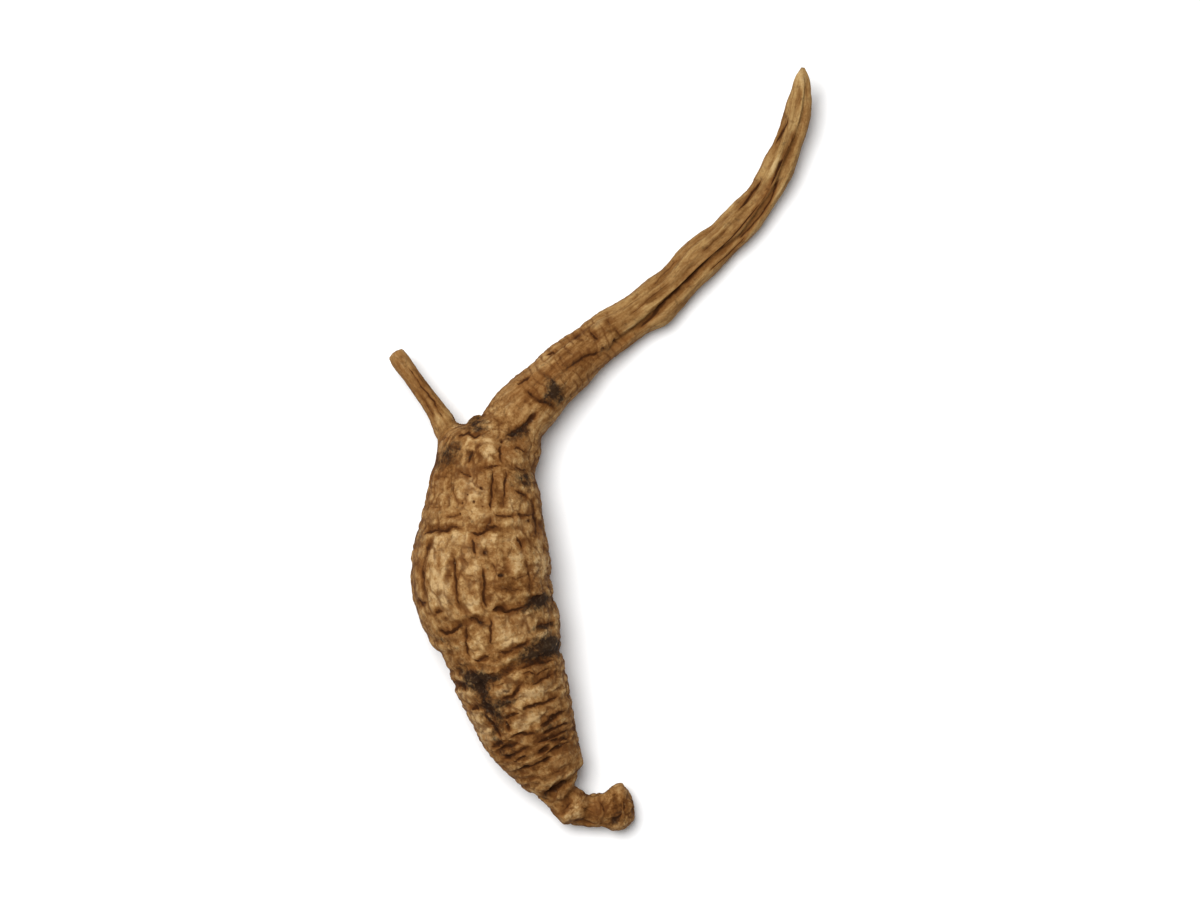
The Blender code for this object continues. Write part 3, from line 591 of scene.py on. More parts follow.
# Where black soil stayed in the skin, and where the dried skin is paler or darker than the rest;
# one
# pale mark, along the tail's ridge, is a painted highlight. Millimetres and degrees, seen from
# above:
# x, y, the half length, the half width, the turn and how strong it is.
SOIL = (
    (-5.8, -19.1, 1.9, 1.2, 10, 1.1), (-4.4, -18.5, 0.9, 1.3, 60, 1.0),
    (-7.4, -19.9, 1.1, 0.5, 25, 0.55), (-11.9, -21.9, 1.4, 1.0, 20, 1.25),
    (-10.0, -21.6, 1.2, 0.5, 10, 0.75), (-12.9, -20.9, 0.7, 0.7, 0, 0.6),
    (-11.1, -23.3, 1.2, 0.8, 80, 0.95), (-10.2, -24.7, 1.2, 0.9, 50, 0.9),
    (-9.6, -26.0, 1.2, 0.6, 70, 0.65), (-8.7, -24.1, 0.8, 0.5, 0, 0.65),
    (-9.0, -22.9, 0.8, 0.4, 20, 0.45), (-6.2, -14.6, 1.3, 0.8, 25, 0.85),
    (-5.2, -14.3, 1.0, 0.6, 10, 0.75), (-7.4, -15.3, 0.9, 0.3, 20, 0.5),
    (-8.0, 1.5, 1.2, 0.55, 25, 0.95), (-7.0, 2.5, 0.8, 0.3, 35, 0.5),
    (-4.4, 5.4, 1.2, 0.9, 40, 1.0), (-4.7, 6.2, 1.4, 0.5, -60, 0.5), (-3.8, 4.7, 0.6, 0.4, 45, 0.4),
    (1.3, -35.7, 0.6, 0.5, 0, 0.8), (-1.6, -36.4, 1.6, 0.4, -8, 0.6),
    (1.9, -34.7, 0.6, 0.3, 50, 0.4), (-7.3, -2.6, 1.1, 0.9, 0, 0.75),
    (-6.6, -3.4, 0.6, 0.6, 0, 0.4), (-11.7, 2.4, 1.1, 0.9, 0, 0.75),
    (-14.8, -0.7, 1.5, 0.9, 20, 0.8), (-13.9, 0.4, 0.9, 0.5, 0, 0.45),
    (-13.0, 2.0, 0.5, 0.4, 0, 0.4), (-12.2, 3.2, 0.8, 0.6, 0, 0.5), (-12.4, -0.3, 0.4, 0.6, 0, 0.4),
    (-5.2, -33.1, 0.9, 0.35, 35, 0.5), (-2.9, 8.0, 1.3, 0.35, 40, 0.5),
    (-9.3, -11.9, 0.6, 0.35, 0, 0.6), (-5.2, -16.8, 1.3, 0.35, 15, 0.8),
    (-11.4, -16.4, 0.5, 0.4, 0, 0.6), (-17.6, -8.3, 0.6, 0.8, 0, 0.6),
    (-12.2, -9.4, 0.4, 0.9, 0, 0.4), (-15.0, -18.0, 1.0, 0.3, -35, 0.6),
    (-9.9, -27.6, 1.1, 0.35, -60, 0.5), (-5.0, -26.4, 1.6, 0.3, 22, 0.4),
    (-8.8, -28.9, 1.4, 0.4, 25, 0.5), (-3.3, -27.4, 1.0, 0.8, 30, 0.35),
    (-4.6, -14.9, 0.6, 0.6, 0, 0.4), (-13.1, -16.6, 0.5, 0.6, 0, 0.45),
    (-10.9, -9.7, 0.4, 0.3, 0, 0.5), (0.4, 9.7, 0.5, 0.3, 35, 0.5),
    (-3.2, -31.9, 0.6, 0.4, 30, 0.35),
)
SHADES = (
    (-10.6, 0.4, 0.8, 1.2, 0, 0.5), (-7.7, -0.8, 0.9, 0.9, 0, 0.3),
    (-12.4, -3.9, 1.2, 1.3, 0, 0.35), (-8.0, -5.1, 1.1, 0.8, 0, 0.35),
    (-8.2, -7.0, 1.2, 0.6, 0, 0.3), (-12.6, 1.3, 0.5, 0.5, 0, 0.4), (-15.4, 3.3, 0.6, 0.9, 30, 0.6),
    (-15.4, -11.7, 1.1, 3.3, 4, 0.55), (-13.8, -8.3, 0.6, 0.7, 0, 0.6),
    (-12.2, -12.9, 0.9, 2.9, 0, 0.4), (-12.0, -15.1, 0.6, 0.8, 0, 0.3),
    (-10.3, -8.5, 0.9, 0.7, 0, 0.45), (-8.9, -9.0, 0.5, 0.9, 0, 0.3),
    (-7.7, -10.5, 0.7, 1.0, 0, 0.3), (-5.7, -10.9, 0.7, 1.4, 0, 0.55),
    (-8.3, -17.2, 1.8, 1.1, 15, 0.4), (-8.6, -18.4, 1.4, 0.35, 15, 0.45),
    (-11.5, -18.7, 0.8, 0.9, 0, 0.4), (-4.8, -15.5, 0.7, 0.6, 0, 0.3),
    (-5.4, -17.5, 0.9, 0.25, 20, 0.5), (-6.0, -23.1, 2.0, 0.8, 15, 0.45),
    (-6.2, -25.4, 1.7, 0.7, 20, 0.4), (-7.5, -26.4, 0.8, 0.4, 10, 0.35),
    (-11.7, -26.2, 2.0, 0.6, -62, 0.5), (-12.6, -23.1, 0.7, 0.6, 0, 0.3),
    (-9.5, -22.9, 0.8, 0.4, 10, 0.35), (-8.6, -24.6, 0.6, 0.4, 0, 0.3),
    (-3.4, -34.8, 0.8, 0.5, 0, 0.35), (-1.9, -35.3, 0.8, 0.4, 0, 0.3),
    # The second mark on the next line, at 16.8, 27.2 along the tail's ridge, is a painted
    # highlight.
    (-0.3, 12.2, 0.7, 0.5, 40, 0.4), (16.8, 27.2, 1.2, 0.3, 62, 0.9),
    (19.3, 34.5, 0.8, 2.0, 0, 0.3), (-18.8, 8.0, 0.8, 1.5, 35, 0.25),
    (-8.8, -13.1, 1.7, 0.7, 0, -0.35), (-14.3, -16.2, 1.4, 0.7, 0, -0.1),
    (-17.3, -12.5, 0.6, 2.5, 0, -0.2), (-11.4, -14.0, 0.4, 2.4, 0, -0.3),
    (-9.8, -19.9, 2.4, 0.5, 15, -0.3), (-13.3, -20.0, 1.0, 1.6, 0, -0.1),
    (2.1, -34.2, 1.3, 1.6, 0, -0.35), (-0.6, -34.8, 1.0, 1.2, 0, -0.1),
    (-15.2, -1.0, 1.6, 1.4, 0, -0.3), (-5.0, 6.2, 2.2, 1.4, 35, -0.2),
    (-3.0, -29.3, 0.7, 1.6, 0, -0.15), (-6.5, -31.0, 1.8, 0.8, 20, -0.1),
    (-0.5, 9.8, 3.6, 1.9, 38, -0.22), (-17.4, 6.0, 4.8, 1.5, 124, -0.3),
    (-12.2, 3.3, 0.8, 0.8, 0, -0.7), (3.5, -34.6, 0.35, 0.9, 0, -0.6),
    (0.5, -35.0, 3.5, 1.8, 0, -0.12), (-5.2, -27.9, 3.2, 1.1, 22, -0.28),
    (-9.6, -28.6, 1.3, 0.7, 20, -0.2),
)


def patches(marks, x, y):
    """The sum at each place of soft-edged ellipses: strength times a bell curve."""
    total = np.zeros(len(x))
    for middle_x, middle_y, half_length, half_width, turn, strength in marks:
        turn = math.radians(turn)
        over, up = x / MM - middle_x, y / MM - middle_y
        on_length = (over * math.cos(turn) + up * math.sin(turn)) / half_length
        on_width = (up * math.cos(turn) - over * math.sin(turn)) / half_width
        total += strength * np.exp(-((on_length**2 + on_width**2) ** 1.25))
    return total


# The skin as a mesh: rings of points, close together on the body and closest on its upper side,
# fewer on the thin neck and tail. A ring next to one with twice its points is sewn on.
BODY_COLUMNS = 232
THIN_COLUMNS = BODY_COLUMNS // 2
SCAR_ROWS, NECK_ROWS, BODY_ROWS, FOLDED_ROWS, TAIL_ROWS = 14, 56, 250, 118, 128
SCAR_END = 0.8 * MM
FOLDED_END = TAIL_START + 15.0 * MM
TOP_CROWDING = 0.42


def ring_grid(rows, columns):
    """Distance along, angle and ring size for the points of rings, with more points near the top:
    an angle is a share of the whole turn plus a cosine of it."""
    share = 2.0 * math.pi * np.arange(columns) / columns
    angles = share + TOP_CROWDING * np.cos(share)
    return np.repeat(rows, columns), np.tile(angles, len(rows)), [columns] * len(rows)


def ring_faces(sizes):
    """Faces of a closed skin over rings of the given sizes, with a pole before and after them."""
    starts = np.concatenate([[0], np.cumsum(sizes)])
    rings = [np.arange(a, b) for a, b in zip(starts[:-1], starts[1:])]
    quads, triangles = [], []
    for near, far in zip(rings[:-1], rings[1:]):
        if len(near) == len(far):
            quads.append(np.stack([near, far, np.roll(far, -1), np.roll(near, -1)], axis=1))
            continue
        fine, coarse = (near, far) if len(near) > len(far) else (far, near)
        left, middle, right = fine[0::2], fine[1::2], np.roll(fine[0::2], -1)
        beyond = np.roll(coarse, -1)
        sewn = [(left, coarse, middle), (coarse, beyond, middle), (middle, beyond, right)]
        sewn = np.vstack([np.stack(corners, axis=1) for corners in sewn])
        triangles.append(sewn if len(near) > len(far) else sewn[:, ::-1])
    first, last, pole = rings[0], rings[-1], starts[-1]
    triangles.append(np.stack([np.full(len(first), pole), first, np.roll(first, -1)], axis=1))
    triangles.append(np.stack([np.full(len(last), pole + 1), np.roll(last, -1), last], axis=1))
    return np.vstack(quads), np.vstack(triangles)


def skin_mesh(name, points, quads, triangles):
    """A mesh from whole arrays of points, four-sided faces and three-sided faces."""
    mesh = bpy.data.meshes.new(name)
    corners = np.concatenate([quads.ravel(), triangles.ravel()])
    sizes = np.concatenate([np.full(len(quads), 4), np.full(len(triangles), 3)])
    mesh.vertices.add(len(points))
    mesh.vertices.foreach_set("co", points.astype(np.float32).ravel())
    mesh.loops.add(len(corners))
    mesh.loops.foreach_set("vertex_index", corners.astype(np.int32))
    mesh.polygons.add(len(sizes))
    starts = np.concatenate([[0], np.cumsum(sizes)[:-1]])
    mesh.polygons.foreach_set("loop_start", starts.astype(np.int32))
    mesh.update(calc_edges=True)
    mesh.validate()
    return mesh


# How far the fine relief goes in or out, in millimetres, and how large its waves are. The skin lies
# a little inside the solid, so that its lumps stay within the solid's box.
INSET, NECK_INSET = 0.07, 0.07
CRACK_BEND, TAIL_BEND_LESS, CRACK_BEND_SIZE = 0.18, 0.10, 0.7
BLOCK_CRACK_DEPTH, HALO_DEPTH, COBBLE_HEIGHT, COBBLE_CRACK_DEPTH = 0.11, 0.07, 0.05, 0.05
FOLD_DEPTH, WRINKLE_DEPTH, PALE_PAD_HEIGHT = 0.06, 0.03, 0.16
LUMP_HEIGHT, LUMP_SIZE, NECK_LUMP_HEIGHT, NECK_LUMP_SIZE = 0.09, 1.5, 0.16, 0.8
GRAIN_LENGTH, GRAIN_WIDTH, TAIL_GRAIN_FINER, TAIL_STRETCH = 0.34, 1.3, 2.4, 3.2
FULL_RELIEF_RADIUS = 1.6


def fine_skin(stations, along, angle, broad):
    """Points of a limb's finished skin, with what its colours need to know about each point.

    The smooth limb is pushed along its own normals: in at cracks, pores, folds and wrinkles, out at
    knobs, lumps and pale pads. Thin limbs get less of it.
    """
    on_trunk = stations is TRUNK
    smooth = limb_point(stations, along, angle, broad)
    normal = limb_normal(stations, along, angle, broad)
    values = read_stations(stations, along)
    radius = 0.5 * (values[:, 3] + values[:, 4])
    straight = np.stack([along, radius * np.cos(angle), radius * np.sin(angle)], axis=1)
    on_tail = ease(along - TAIL_START, -3.0 * MM, 3.0 * MM) if on_trunk else np.ones(len(along))
    past_body = np.maximum(along - TAIL_START, 0.0) if on_trunk else along
    flow = straight / MM
    flow[:, 0] -= (1.0 - 1.0 / TAIL_STRETCH) * past_body / MM
    grain = flow / np.array([GRAIN_LENGTH, GRAIN_WIDTH, GRAIN_WIDTH])
    grain[:, 0] -= 0.8 * past_body / (GRAIN_LENGTH * MM * TAIL_STRETCH)
    grain[:, 1:] *= 1.0 + TAIL_GRAIN_FINER * on_tail[:, None]

    bend = MM * (CRACK_BEND - TAIL_BEND_LESS * ease(smooth[:, 1], 5.0 * MM, 12.0 * MM))
    bend_places = smooth / (CRACK_BEND_SIZE * MM)
    wander_x, wander_y = (bend * layered_noise(bend_places, seed, 3) for seed in (41, 43))
    x, y = smooth[:, 0], smooth[:, 1]
    seen = ease(normal[:, 2], 0.0, 0.35)
    upper = ease(normal[:, 2], -0.4, 0.1)
    hollow, dark, halo = crack_marks(x + wander_x, y + wander_y)
    # Paler and darker patches of skin, and a painted highlight along the tail's ridge, on the upper
    # side.
    tone_and_painted_light = patches(SHADES, x + 2.0 * wander_x, y + 2.0 * wander_y) * upper
    blocks = block_cracks(along, angle, radius, straight)
    blocks = blocks * (1.0 - 0.75 * seen) * (1.0 - 0.8 * on_tail)
    cobble, swell = cobble_edges(along, straight)
    cobble = cobble * (1.0 - 0.55 * on_tail)
    wrinkle = 1.0 - np.abs(layered_noise(grain, 51, 2)) * 2.2
    lumpy = layered_noise(straight / (LUMP_SIZE * MM), 61, 3)
    folds = np.zeros(len(along))
    if on_trunk:
        blocks = blocks * ease(along, 1.5 * MM, 3.5 * MM)
        folds = tail_folds(along, angle, straight)

    height = -INSET * MM - FOLD_DEPTH * MM * folds
    for knob_x, knob_y, knob_z, size, out in KNOBS:
        height += out * bell(np.linalg.norm(smooth - (knob_x, knob_y, knob_z), axis=1), size)
    thin = np.minimum(1.0, radius / (FULL_RELIEF_RADIUS * MM))
    height -= thin * (hollow * seen + BLOCK_CRACK_DEPTH * MM * blocks)
    height += thin * MM * (LUMP_HEIGHT * lumpy - WRINKLE_DEPTH * np.clip(wrinkle, 0.0, 1.0) ** 3)
    height += thin * MM * (PALE_PAD_HEIGHT * np.clip(tone_and_painted_light, -0.5, 1.0) - HALO_DEPTH * halo * seen)
    lowered = COBBLE_HEIGHT * (1.0 - swell) * (1.0 - 0.5 * on_tail) + COBBLE_CRACK_DEPTH * cobble
    height -= thin * MM * lowered
    if on_trunk:
        on_neck = 1.0 - ease(along - BODY_START, -2.0 * MM, 1.0 * MM)
        lumps = NECK_LUMP_HEIGHT * layered_noise(straight / (NECK_LUMP_SIZE * MM), 63, 3)
        height += on_neck * MM * (lumps - NECK_INSET)
    marks = {
        "crack": np.maximum(dark * seen * (1.0 - 0.12 * on_tail), 0.8 * blocks),
        "halo": np.maximum(halo * seen, 0.6 * blocks),
        "grain": grain,
        "flow": flow,
        "limb": ease(along - TAIL_START, 5.0 * MM, 20.0 * MM) if on_trunk else 0.6 + 0.0 * along,
        "tone_and_painted_light": tone_and_painted_light,
        "seen": upper,
        "cobble": np.maximum(cobble, folds),
    }
    return smooth + height[:, None] * normal, marks


def closed_limb(name, stations, blocks, broad):
    """A limb's closed skin as a mesh, with its points and what its colours need for each of them.

    Blocks lists (rows, columns) along the limb, and a pole in the middle of each end closes it.
    """
    grids = [ring_grid(rows, columns) for rows, columns in blocks]
    along, angle = (np.concatenate([grid[part] for grid in grids]) for part in (0, 1))
    sizes = sum((grid[2] for grid in grids), [])
    points, marks = fine_skin(stations, along, angle, broad)

    def with_poles(values):
        """The values, and after them the mean of the first ring's and of the last ring's."""
        first, last = values[: sizes[0]], values[-sizes[-1] :]
        return np.concatenate([values, [first.mean(axis=0), last.mean(axis=0)]])

    points = with_poles(points)
    points[:, 2] = np.maximum(points[:, 2], 0.0)
    marks = {mark: with_poles(values) for mark, values in marks.items()}
    return skin_mesh(name, points, *ring_faces(sizes)), points, marks


def stretch(start, end, rows):
    """Rows evenly spaced from start on, without the end."""
    return np.linspace(start, end, rows, endpoint=False)


trunk, trunk_points, trunk_marks = closed_limb(
    "trunk",
    TRUNK,
    [
        (stretch(0.0, SCAR_END, SCAR_ROWS), THIN_COLUMNS),
        (stretch(SCAR_END, BODY_START, NECK_ROWS), THIN_COLUMNS),
        (stretch(BODY_START, TAIL_START, BODY_ROWS), BODY_COLUMNS),
        (stretch(TAIL_START, FOLDED_END, FOLDED_ROWS), THIN_COLUMNS),
        (np.linspace(FOLDED_END, TRUNK_END, TAIL_ROWS), THIN_COLUMNS),
    ],
    broad_relief,
)


# The rootlet and the bud: a thin side root, cut short, that grew from the shoulder of the body, and
# a small dark bud in the notch of the fork. Both are of the same flesh and skin as the trunk.
ROOTLET = MM * np.array([
    (-12.4, -1.6, 4.7, 1.0, 1.0), (-13.85, 0.7, 4.7, 1.95, 1.8), (-14.75, 2.2, 4.5, 1.45, 1.35),
    (-15.6, 3.6, 4.3, 1.12, 1.05), (-16.8, 5.3, 4.1, 1.0, 0.95), (-18.2, 7.2, 3.9, 0.95, 0.9),
    (-19.45, 8.95, 3.8, 0.95, 0.9), (-19.65, 9.25, 3.8, 0.87, 0.82), (-19.76, 9.43, 3.8, 0.6, 0.57),
    (-19.8, 9.5, 3.8, 0.25, 0.25),
])
BUD = MM * np.array([
    (-11.8, 0.7, 5.4, 1.2, 1.2), (-11.8, 1.8, 5.9, 1.35, 1.3), (-11.85, 2.6, 6.1, 1.2, 1.1),
    (-11.85, 3.15, 6.1, 0.95, 0.9), (-11.85, 3.5, 6.1, 0.4, 0.4),
])
ROOTLET_COLUMNS, ROOTLET_ROWS = 48, 90
BUD_COLUMNS, BUD_ROWS = 30, 22


def no_relief(along, angle, radius):
    """A limb as smooth as its stations make it."""
    return 0.0 * along


rootlet_rows = np.linspace(0.0, distances(ROOTLET)[-1], ROOTLET_ROWS)
rootlet, rootlet_points, rootlet_marks = closed_limb(
    "rootlet", ROOTLET, [(rootlet_rows, ROOTLET_COLUMNS)], no_relief
)
bud_rows = np.linspace(0.0, distances(BUD)[-1], BUD_ROWS)
bud, bud_points, bud_marks = closed_limb("bud", BUD, [(bud_rows, BUD_COLUMNS)], no_relief)


# The whole root: the rootlet and the bud are grown into the trunk, so one closed skin runs over all
# three, in a soft hollow where they meet.
grown_on = bpy.data.collections.new("grown_on")
root = bpy.data.objects.new("ginseng_skin", trunk)
bpy.context.scene.collection.objects.link(root)
for mesh in (rootlet, bud):
    grown_on.objects.link(bpy.data.objects.new(mesh.name, mesh))
joined = root.modifiers.new("joined", "BOOLEAN")
joined.operation = "UNION"
joined.operand_type = "COLLECTION"
joined.collection = grown_on
joined.solver = "MANIFOLD"
depsgraph = bpy.context.evaluated_depsgraph_get()
skin = bpy.data.meshes.new_from_object(root.evaluated_get(depsgraph))
root.modifiers.clear()
root.data = skin
for extra in list(grown_on.objects):
    bpy.data.objects.remove(extra)
bpy.data.collections.remove(grown_on)

places = np.zeros(3 * len(skin.vertices), dtype=np.float32)
skin.vertices.foreach_get("co", places)
places = places.reshape(-1, 3).astype(float)
edges = np.zeros(2 * len(skin.edges), dtype=np.int32)
skin.edges.foreach_get("vertices", edges)
edges = edges.reshape(-1, 2)

# The joined skin's points take their marks from the limbs' points that they came from, which are at
# the same places. The few new points along the seams take those of the nearest one.
KEY_STEP, KEY_SPAN = 1e-7, 2**21


def place_keys(points):
    """One whole number for each place: x, y and z in tenths of a micrometre, side by side."""
    steps = np.round(points.astype(np.float32).astype(float) / KEY_STEP).astype(np.int64)
    x, y, z = (steps + KEY_SPAN // 2).T
    return (x * KEY_SPAN + y) * KEY_SPAN + z


limb_points = np.vstack([trunk_points, rootlet_points, bud_points])
limb_keys = place_keys(limb_points)
by_key = np.argsort(limb_keys, kind="stable")
row = np.searchsorted(limb_keys[by_key], place_keys(places))
source = by_key[np.minimum(row, len(by_key) - 1)]
new = limb_keys[source] != place_keys(places)
reach = 0.5 * MM
low, high = places[new].min(axis=0) - reach, places[new].max(axis=0) + reach
close = np.flatnonzero(np.all((limb_points > low) & (limb_points < high), axis=1))
gaps = np.linalg.norm(places[new][:, None] - limb_points[close][None], axis=2)
source[new] = close[gaps.argmin(axis=1)]
apart = np.zeros(len(places))
apart[new] = gaps.min(axis=1)
crack, halo, grain, flow, limb, tone_and_painted_light, seen, cobble = (
    np.concatenate([marks[name] for marks in (trunk_marks, rootlet_marks, bud_marks)])[source]
    for name in ("crack", "halo", "grain", "flow", "limb", "tone_and_painted_light", "seen", "cobble")
)


def smoothed(values, rounds):
    """Values evened out along the mesh's edges: each round, a point and its neighbours average."""
    counts = 1.0 + np.bincount(edges.ravel(), minlength=len(values))
    for _ in range(rounds):
        total = values.copy()
        for axis in range(values.shape[1]):
            total[:, axis] += np.bincount(edges[:, 0], values[edges[:, 1], axis], len(values))
            total[:, axis] += np.bincount(edges[:, 1], values[edges[:, 0], axis], len(values))
        values = total / counts[:, None]
    return values


# The skin is evened out along the seams and at two tight inner bends, but not over the bud. A spot
# is x, y and the reaches in millimetres, seen from above, and how even it is made.
EVENED_SPOTS = (((-6.3, -3.0), (1.9, 0.75), 1.0), ((-2.0, -33.0), (0.7, 0.7), 1.0),
    ((-11.9, 3.3), (1.3, 0.9), 0.0))
seam = (apart > 0.01 * MM).astype(float)[:, None]
seam = np.clip(8.0 * smoothed(seam, 24), 0.0, 1.0)[:, 0]
for middle, reaches, evenness in EVENED_SPOTS:
    spot = np.exp(-np.sum(((places[:, :2] / MM - middle) / reaches) ** 4, axis=1))
    seam += (evenness - seam) * spot
seam = seam[:, None]
places = places * (1.0 - seam) + smoothed(places, 50) * seam
skin.vertices.foreach_set("co", places.astype(np.float32).ravel())
skin.update()
normals = np.zeros(3 * len(skin.vertices), dtype=np.float32)
skin.vertices.foreach_get("normal", normals)
normals = normals.reshape(-1, 3)

# What the colours read at each point: how far it stands out from its surroundings, which makes the
# crests paler, as worn skin, and puts painted shade in the hollows; its soil; and its tone, which
# is uneven underneath, with painted shade darker down the sides.
RAISED_FULL = 0.10 * MM
# Paler crests, as worn skin, and painted shade in the hollows.
wear_and_hollow_shade = np.einsum("ij,ij->i", places - smoothed(places, 24), normals) / RAISED_FULL
wear_and_hollow_shade = np.clip(wear_and_hollow_shade, -1.5, 1.5)
soil_x, soil_y = (
    places[:, axis] + 0.3 * MM * lattice_noise(places / (0.8 * MM), seed)
    for axis, seed in ((0, 71), (1, 73))
)
soil_edge = normals[:, 2] + 0.5 * lattice_noise(places / (1.2 * MM), 75)
soil = patches(SOIL, soil_x, soil_y) * seen * (0.45 + 0.55 * ease(soil_edge, 0.1, 0.55))
under = 1.0 - seen
soil += under * ease(layered_noise(places / (5.0 * MM), 81, 2), 0.25, 0.5) * 0.7
tone_and_painted_light += under * 0.6 * layered_noise(places / (2.5 * MM), 83, 2)
# Painted shade: the sides are darker, where the skin turns away from the light above.
tone_and_painted_light -= 0.30 * (1.0 - ease(normals[:, 2], 0.05, 0.45)) * (0.5 + 0.5 * seen)

point_marks = {
    "crack": crack, "halo": halo, "soil": soil, "tone_and_painted_light": tone_and_painted_light, "wear_and_hollow_shade": wear_and_hollow_shade, "limb": limb,
    "cobble": cobble,
}
for name, values in point_marks.items():
    skin.attributes.new(name, "FLOAT", "POINT").data.foreach_set("value", values.astype(np.float32))
for name, values in {"grain": grain, "flow": flow}.items():
    skin.attributes.new(name, "FLOAT_VECTOR", "POINT").data.foreach_set(
        "vector", values.astype(np.float32).ravel()
    )
skin.shade_smooth()


# The dried skin's finish: matt brown, mottled and streaked, paler on what stands out, with painted
# shade in the hollows and down the sides and a painted highlight along the tail's ridge, red-brown
# in the halos, dark in the cracks, with black soil on top. Colours are linear.
RED_BROWN, COBBLE_BROWN = (0.180, 0.070, 0.018, 1.0), (0.088, 0.030, 0.007, 1.0)
CRACKLE_BROWN, PALE_FLECK = (0.115, 0.044, 0.011, 1.0), (0.460, 0.310, 0.150, 1.0)
SOIL_BLACK, SOIL_GREY = (0.0160, 0.0078, 0.0040, 1.0), (0.080, 0.052, 0.030, 1.0)
BODY_BROWNS = (
    (0.0, (0.052, 0.017, 0.0035)), (0.28, (0.122, 0.048, 0.011)), (0.5, (0.208, 0.098, 0.029)),
    (0.75, (0.312, 0.176, 0.064)), (1.0, (0.445, 0.290, 0.132)),
)
TAIL_BROWNS = (
    (0.0, (0.070, 0.028, 0.006)), (0.28, (0.150, 0.068, 0.018)), (0.5, (0.232, 0.123, 0.040)),
    (0.75, (0.322, 0.195, 0.072)), (1.0, (0.430, 0.292, 0.132)),
)
CRACK_BROWNS = (
    (0.2, (0.095, 0.034, 0.008)), (0.6, (0.045, 0.014, 0.0030)), (0.95, (0.020, 0.006, 0.0012)),
)
MIDDLE_TONE = 0.52

dried_skin = bpy.data.materials.new("dried_skin")
dried_skin.use_nodes = True
skin_tree = dried_skin.node_tree
skin_tree.nodes.clear()


def node(kind, inputs=(), **settings):
    """Adds a node, sets its settings, and sets or links its inputs by name or number."""
    added = skin_tree.nodes.new(kind)
    for key, value in settings.items():
        setattr(added, key, value)
    for key, value in dict(inputs).items():
        if isinstance(value, bpy.types.NodeSocket):
            skin_tree.links.new(value, added.inputs[key])
        else:
            added.inputs[key].default_value = value
    return added


def colour_ramp(value, stops):
    """A ramp node over the value, through the given places and linear colours."""
    added = node("ShaderNodeValToRGB", {0: value})
    ramp = added.color_ramp
    while len(ramp.elements) < len(stops):
        ramp.elements.new(0.5)
    for element, (place, colour) in zip(ramp.elements, stops):
        element.position = place
        element.color = (*colour, 1.0)
    return added.outputs["Color"]


def mark(name, output="Fac"):
    """What is stored at the skin's points under the name."""
    return node("ShaderNodeAttribute", attribute_name=name).outputs[output]


def maths(operation, first, second, clamp=False):
    """One sum on two values."""
    inputs = {0: first, 1: second}
    return node("ShaderNodeMath", inputs, operation=operation, use_clamp=clamp).outputs[0]


def total(*values, clamp=False):
    """The values added up, and kept between 0 and 1 if clamp is set."""
    added = values[0]
    for number, value in enumerate(values[1:], start=2):
        added = maths("ADD", added, value, clamp and number == len(values))
    return added


def mixed(share, first, second):
    """The first colour, with a share of the second over it."""
    inputs = {0: share, 6: first, 7: second}
    return node("ShaderNodeMix", inputs, data_type="RGBA").outputs[2]


def noise(vector, size, detail, roughness=0.55):
    """Cloudy noise, mostly 0.3 to 0.7, with features of about the size."""
    inputs = {"Vector": vector, "Scale": 1.0 / size, "Detail": detail, "Roughness": roughness}
    return node("ShaderNodeTexNoise", inputs).outputs["Fac"]


def spread(value, low, high, to_low=0.0, to_high=1.0):
    """The value's range from low to high, stretched to another range and cut off outside it."""
    inputs = {0: value, 1: low, 2: high, 3: to_low, 4: to_high}
    return node("ShaderNodeMapRange", inputs).outputs[0]


def swing(cloud, amount):
    """Cloudy noise as a swing from minus to plus the amount."""
    return spread(cloud, 0.3, 0.7, -amount, amount)


place = node("ShaderNodeTexCoord").outputs["Object"]
flow_place, fibre_place = mark("flow", "Vector"), mark("grain", "Vector")
mottle = noise(flow_place, 1.4, 5.0, 0.65)
patch = noise(flow_place, 0.5, 4.0, 0.6)
speck = noise(place, 0.2 * MM, 3.0, 0.6)
fibre = noise(fibre_place, 0.9, 3.0, 0.6)
fleck = noise(place, 0.33 * MM, 2.0, 0.5)
granule = noise(place, 0.55 * MM, 4.0, 0.7)
rust = noise(flow_place, 2.4, 4.0, 0.6)

tone = total(
    maths(
        "MULTIPLY",
        total(swing(mottle, 0.28), swing(patch, 0.20)),
        spread(mark("limb"), 0.0, 1.0, 1.0, 0.6),
    ),
    MIDDLE_TONE,
    maths("MULTIPLY", swing(fibre, 0.06), spread(mark("limb"), 0.0, 1.0, 1.0, 2.4)),
    swing(speck, 0.10),
    # Paler crests, as worn skin, and painted shade in the hollows.
    spread(mark("wear_and_hollow_shade"), -1.0, 1.0, -0.16, 0.16),
    spread(mark("halo"), 0.0, 1.0, 0.05, -0.30),
    # Paler and darker patches of skin, with painted shade down the sides and a painted highlight
    # along the tail's ridge.
    spread(mark("tone_and_painted_light"), -1.0, 1.0, -0.65, 0.65),
    clamp=True,
)
base = mixed(mark("limb"), colour_ramp(tone, BODY_BROWNS), colour_ramp(tone, TAIL_BROWNS))
rust_share = total(
    spread(rust, 0.48, 0.68, 0.0, 0.45), spread(mark("halo"), 0.1, 1.0, 0.0, 0.25), clamp=True
)
base = mixed(rust_share, base, RED_BROWN)

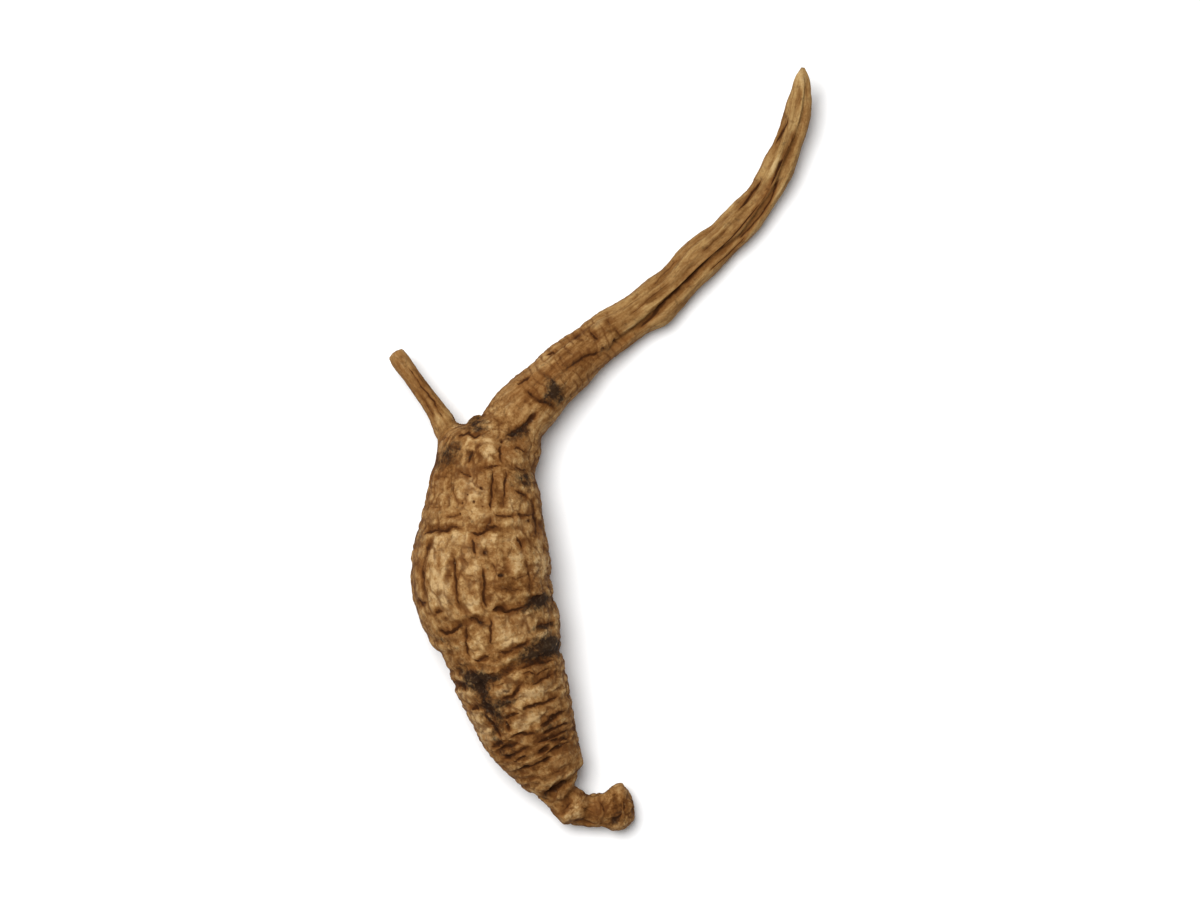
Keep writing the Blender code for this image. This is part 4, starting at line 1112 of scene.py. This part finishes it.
# A net of hair-thin crackle, then the edges of the cobbles and the cracks, ragged at their rims.
drift = node("ShaderNodeTexNoise", {"Vector": flow_place, "Scale": 1.6, "Detail": 2.0})
drifted = node(
    "ShaderNodeVectorMath", {0: drift.outputs["Color"], 1: (1.3, 1.3, 1.3), 2: flow_place},
    operation="MULTIPLY_ADD",
).outputs[0]
cells = node(
    "ShaderNodeTexVoronoi", {"Vector": drifted, "Scale": 1.05}, feature="DISTANCE_TO_EDGE"
).outputs["Distance"]
crackle_share = spread(noise(flow_place, 1.9, 3.0), 0.40, 0.56)
crackle = maths("MULTIPLY", spread(cells, 0.015, 0.12, 1.0, 0.0), crackle_share)
base = mixed(maths("MULTIPLY", crackle, 0.4), base, CRACKLE_BROWN)
ragged = total(swing(patch, 0.12), swing(speck, 0.1))
cobble_share = spread(total(mark("cobble"), ragged), 0.15, 0.9, 0.0, 0.72)
base = mixed(cobble_share, base, COBBLE_BROWN)
crack_share = spread(total(mark("crack"), ragged), 0.26, 0.58, 0.0, 0.96)
crack_colour = colour_ramp(total(mark("crack"), swing(patch, 0.15)), CRACK_BROWNS)
base = mixed(crack_share, base, crack_colour)
base = mixed(spread(fleck, 0.66, 0.78, 0.0, 0.16), base, PALE_FLECK)
soil_share = spread(total(mark("soil"), swing(granule, 0.55)), 0.15, 1.05, 0.0, 0.95)
soil_colour = mixed(spread(fleck, 0.55, 0.7, 0.0, 0.45), SOIL_BLACK, SOIL_GREY)
base = mixed(soil_share, base, soil_colour)

rough_height = total(maths("MULTIPLY", speck, 0.6), maths("MULTIPLY", patch, 0.8))
rough_height = maths("SUBTRACT", rough_height, maths("MULTIPLY", crackle, 0.5))
bump = node("ShaderNodeBump", {"Strength": 0.55, "Distance": 0.08 * MM, "Height": rough_height})
surface = node(
    "ShaderNodeBsdfPrincipled",
    {
        "Base Color": base,
        "Roughness": spread(tone, 0.2, 0.9, 0.85, 0.66),
        "Specular IOR Level": 0.05,
        "Normal": bump.outputs[0],
    },
)
node("ShaderNodeOutputMaterial", {0: surface.outputs[0]})

skin.materials.clear()
skin.materials.append(dried_skin)
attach(root, "root")
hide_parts("ginseng_root")


# The table: a plain near-white sheet, flat and level, that the root lies on.
TABLE_HALF = 1.5
TABLE_WHITE, TABLE_ROUGHNESS = (0.86, 0.86, 0.86, 1.0), 0.9
floor_corners = [
    (x * TABLE_HALF, y * TABLE_HALF, 0.0) for x, y in ((-1, -1), (1, -1), (1, 1), (-1, 1))
]
floor_mesh = bpy.data.meshes.new("floor")
floor_mesh.from_pydata(floor_corners, [], [(0, 1, 2, 3)])
floor = bpy.data.objects.new("floor", floor_mesh)
bpy.context.scene.collection.objects.link(floor)
white_table = bpy.data.materials.new("white_table")
white_table.use_nodes = True
table_finish = white_table.node_tree.nodes["Principled BSDF"]
table_finish.inputs["Base Color"].default_value = TABLE_WHITE
table_finish.inputs["Roughness"].default_value = TABLE_ROUGHNESS
floor_mesh.materials.append(white_table)


# Soft studio light: an even pale surround and one broad lamp overhead, a little to the upper left,
# turned to the middle of the table.
SURROUND_STRENGTH, LAMP_SIZE, LAMP_POWER = 0.3, 0.30, 3.05
studio = bpy.data.worlds.new("studio")
studio.use_nodes = True
surround = studio.node_tree.nodes["Background"]
surround.inputs["Color"].default_value = (1.0, 1.0, 1.0, 1.0)
surround.inputs["Strength"].default_value = SURROUND_STRENGTH
bpy.context.scene.world = studio
softbox = bpy.data.lights.new("softbox", "AREA")
softbox.shape = "DISK"
softbox.size = LAMP_SIZE
softbox.energy = LAMP_POWER
lamp = bpy.data.objects.new("softbox", softbox)
lamp.location = (-0.10, 0.10, 0.45)
lamp.rotation_euler = (-lamp.location).to_track_quat("-Z", "Y").to_euler()
bpy.context.scene.collection.objects.link(lamp)
bpy.context.scene.view_settings.view_transform = "Standard"


# The camera looks straight down, as the photo's did, from far off through a long lens.
CAMERA_HEIGHT, CAMERA_LENS, CAMERA_NEAR = 0.6, 186.0, 0.01
camera_data = bpy.data.cameras.new("camera")
camera_data.lens = CAMERA_LENS
camera_data.clip_start = CAMERA_NEAR
camera = bpy.data.objects.new("camera", camera_data)
camera.location = (0.0, 0.0, CAMERA_HEIGHT)
bpy.context.scene.collection.objects.link(camera)
bpy.context.scene.camera = camera
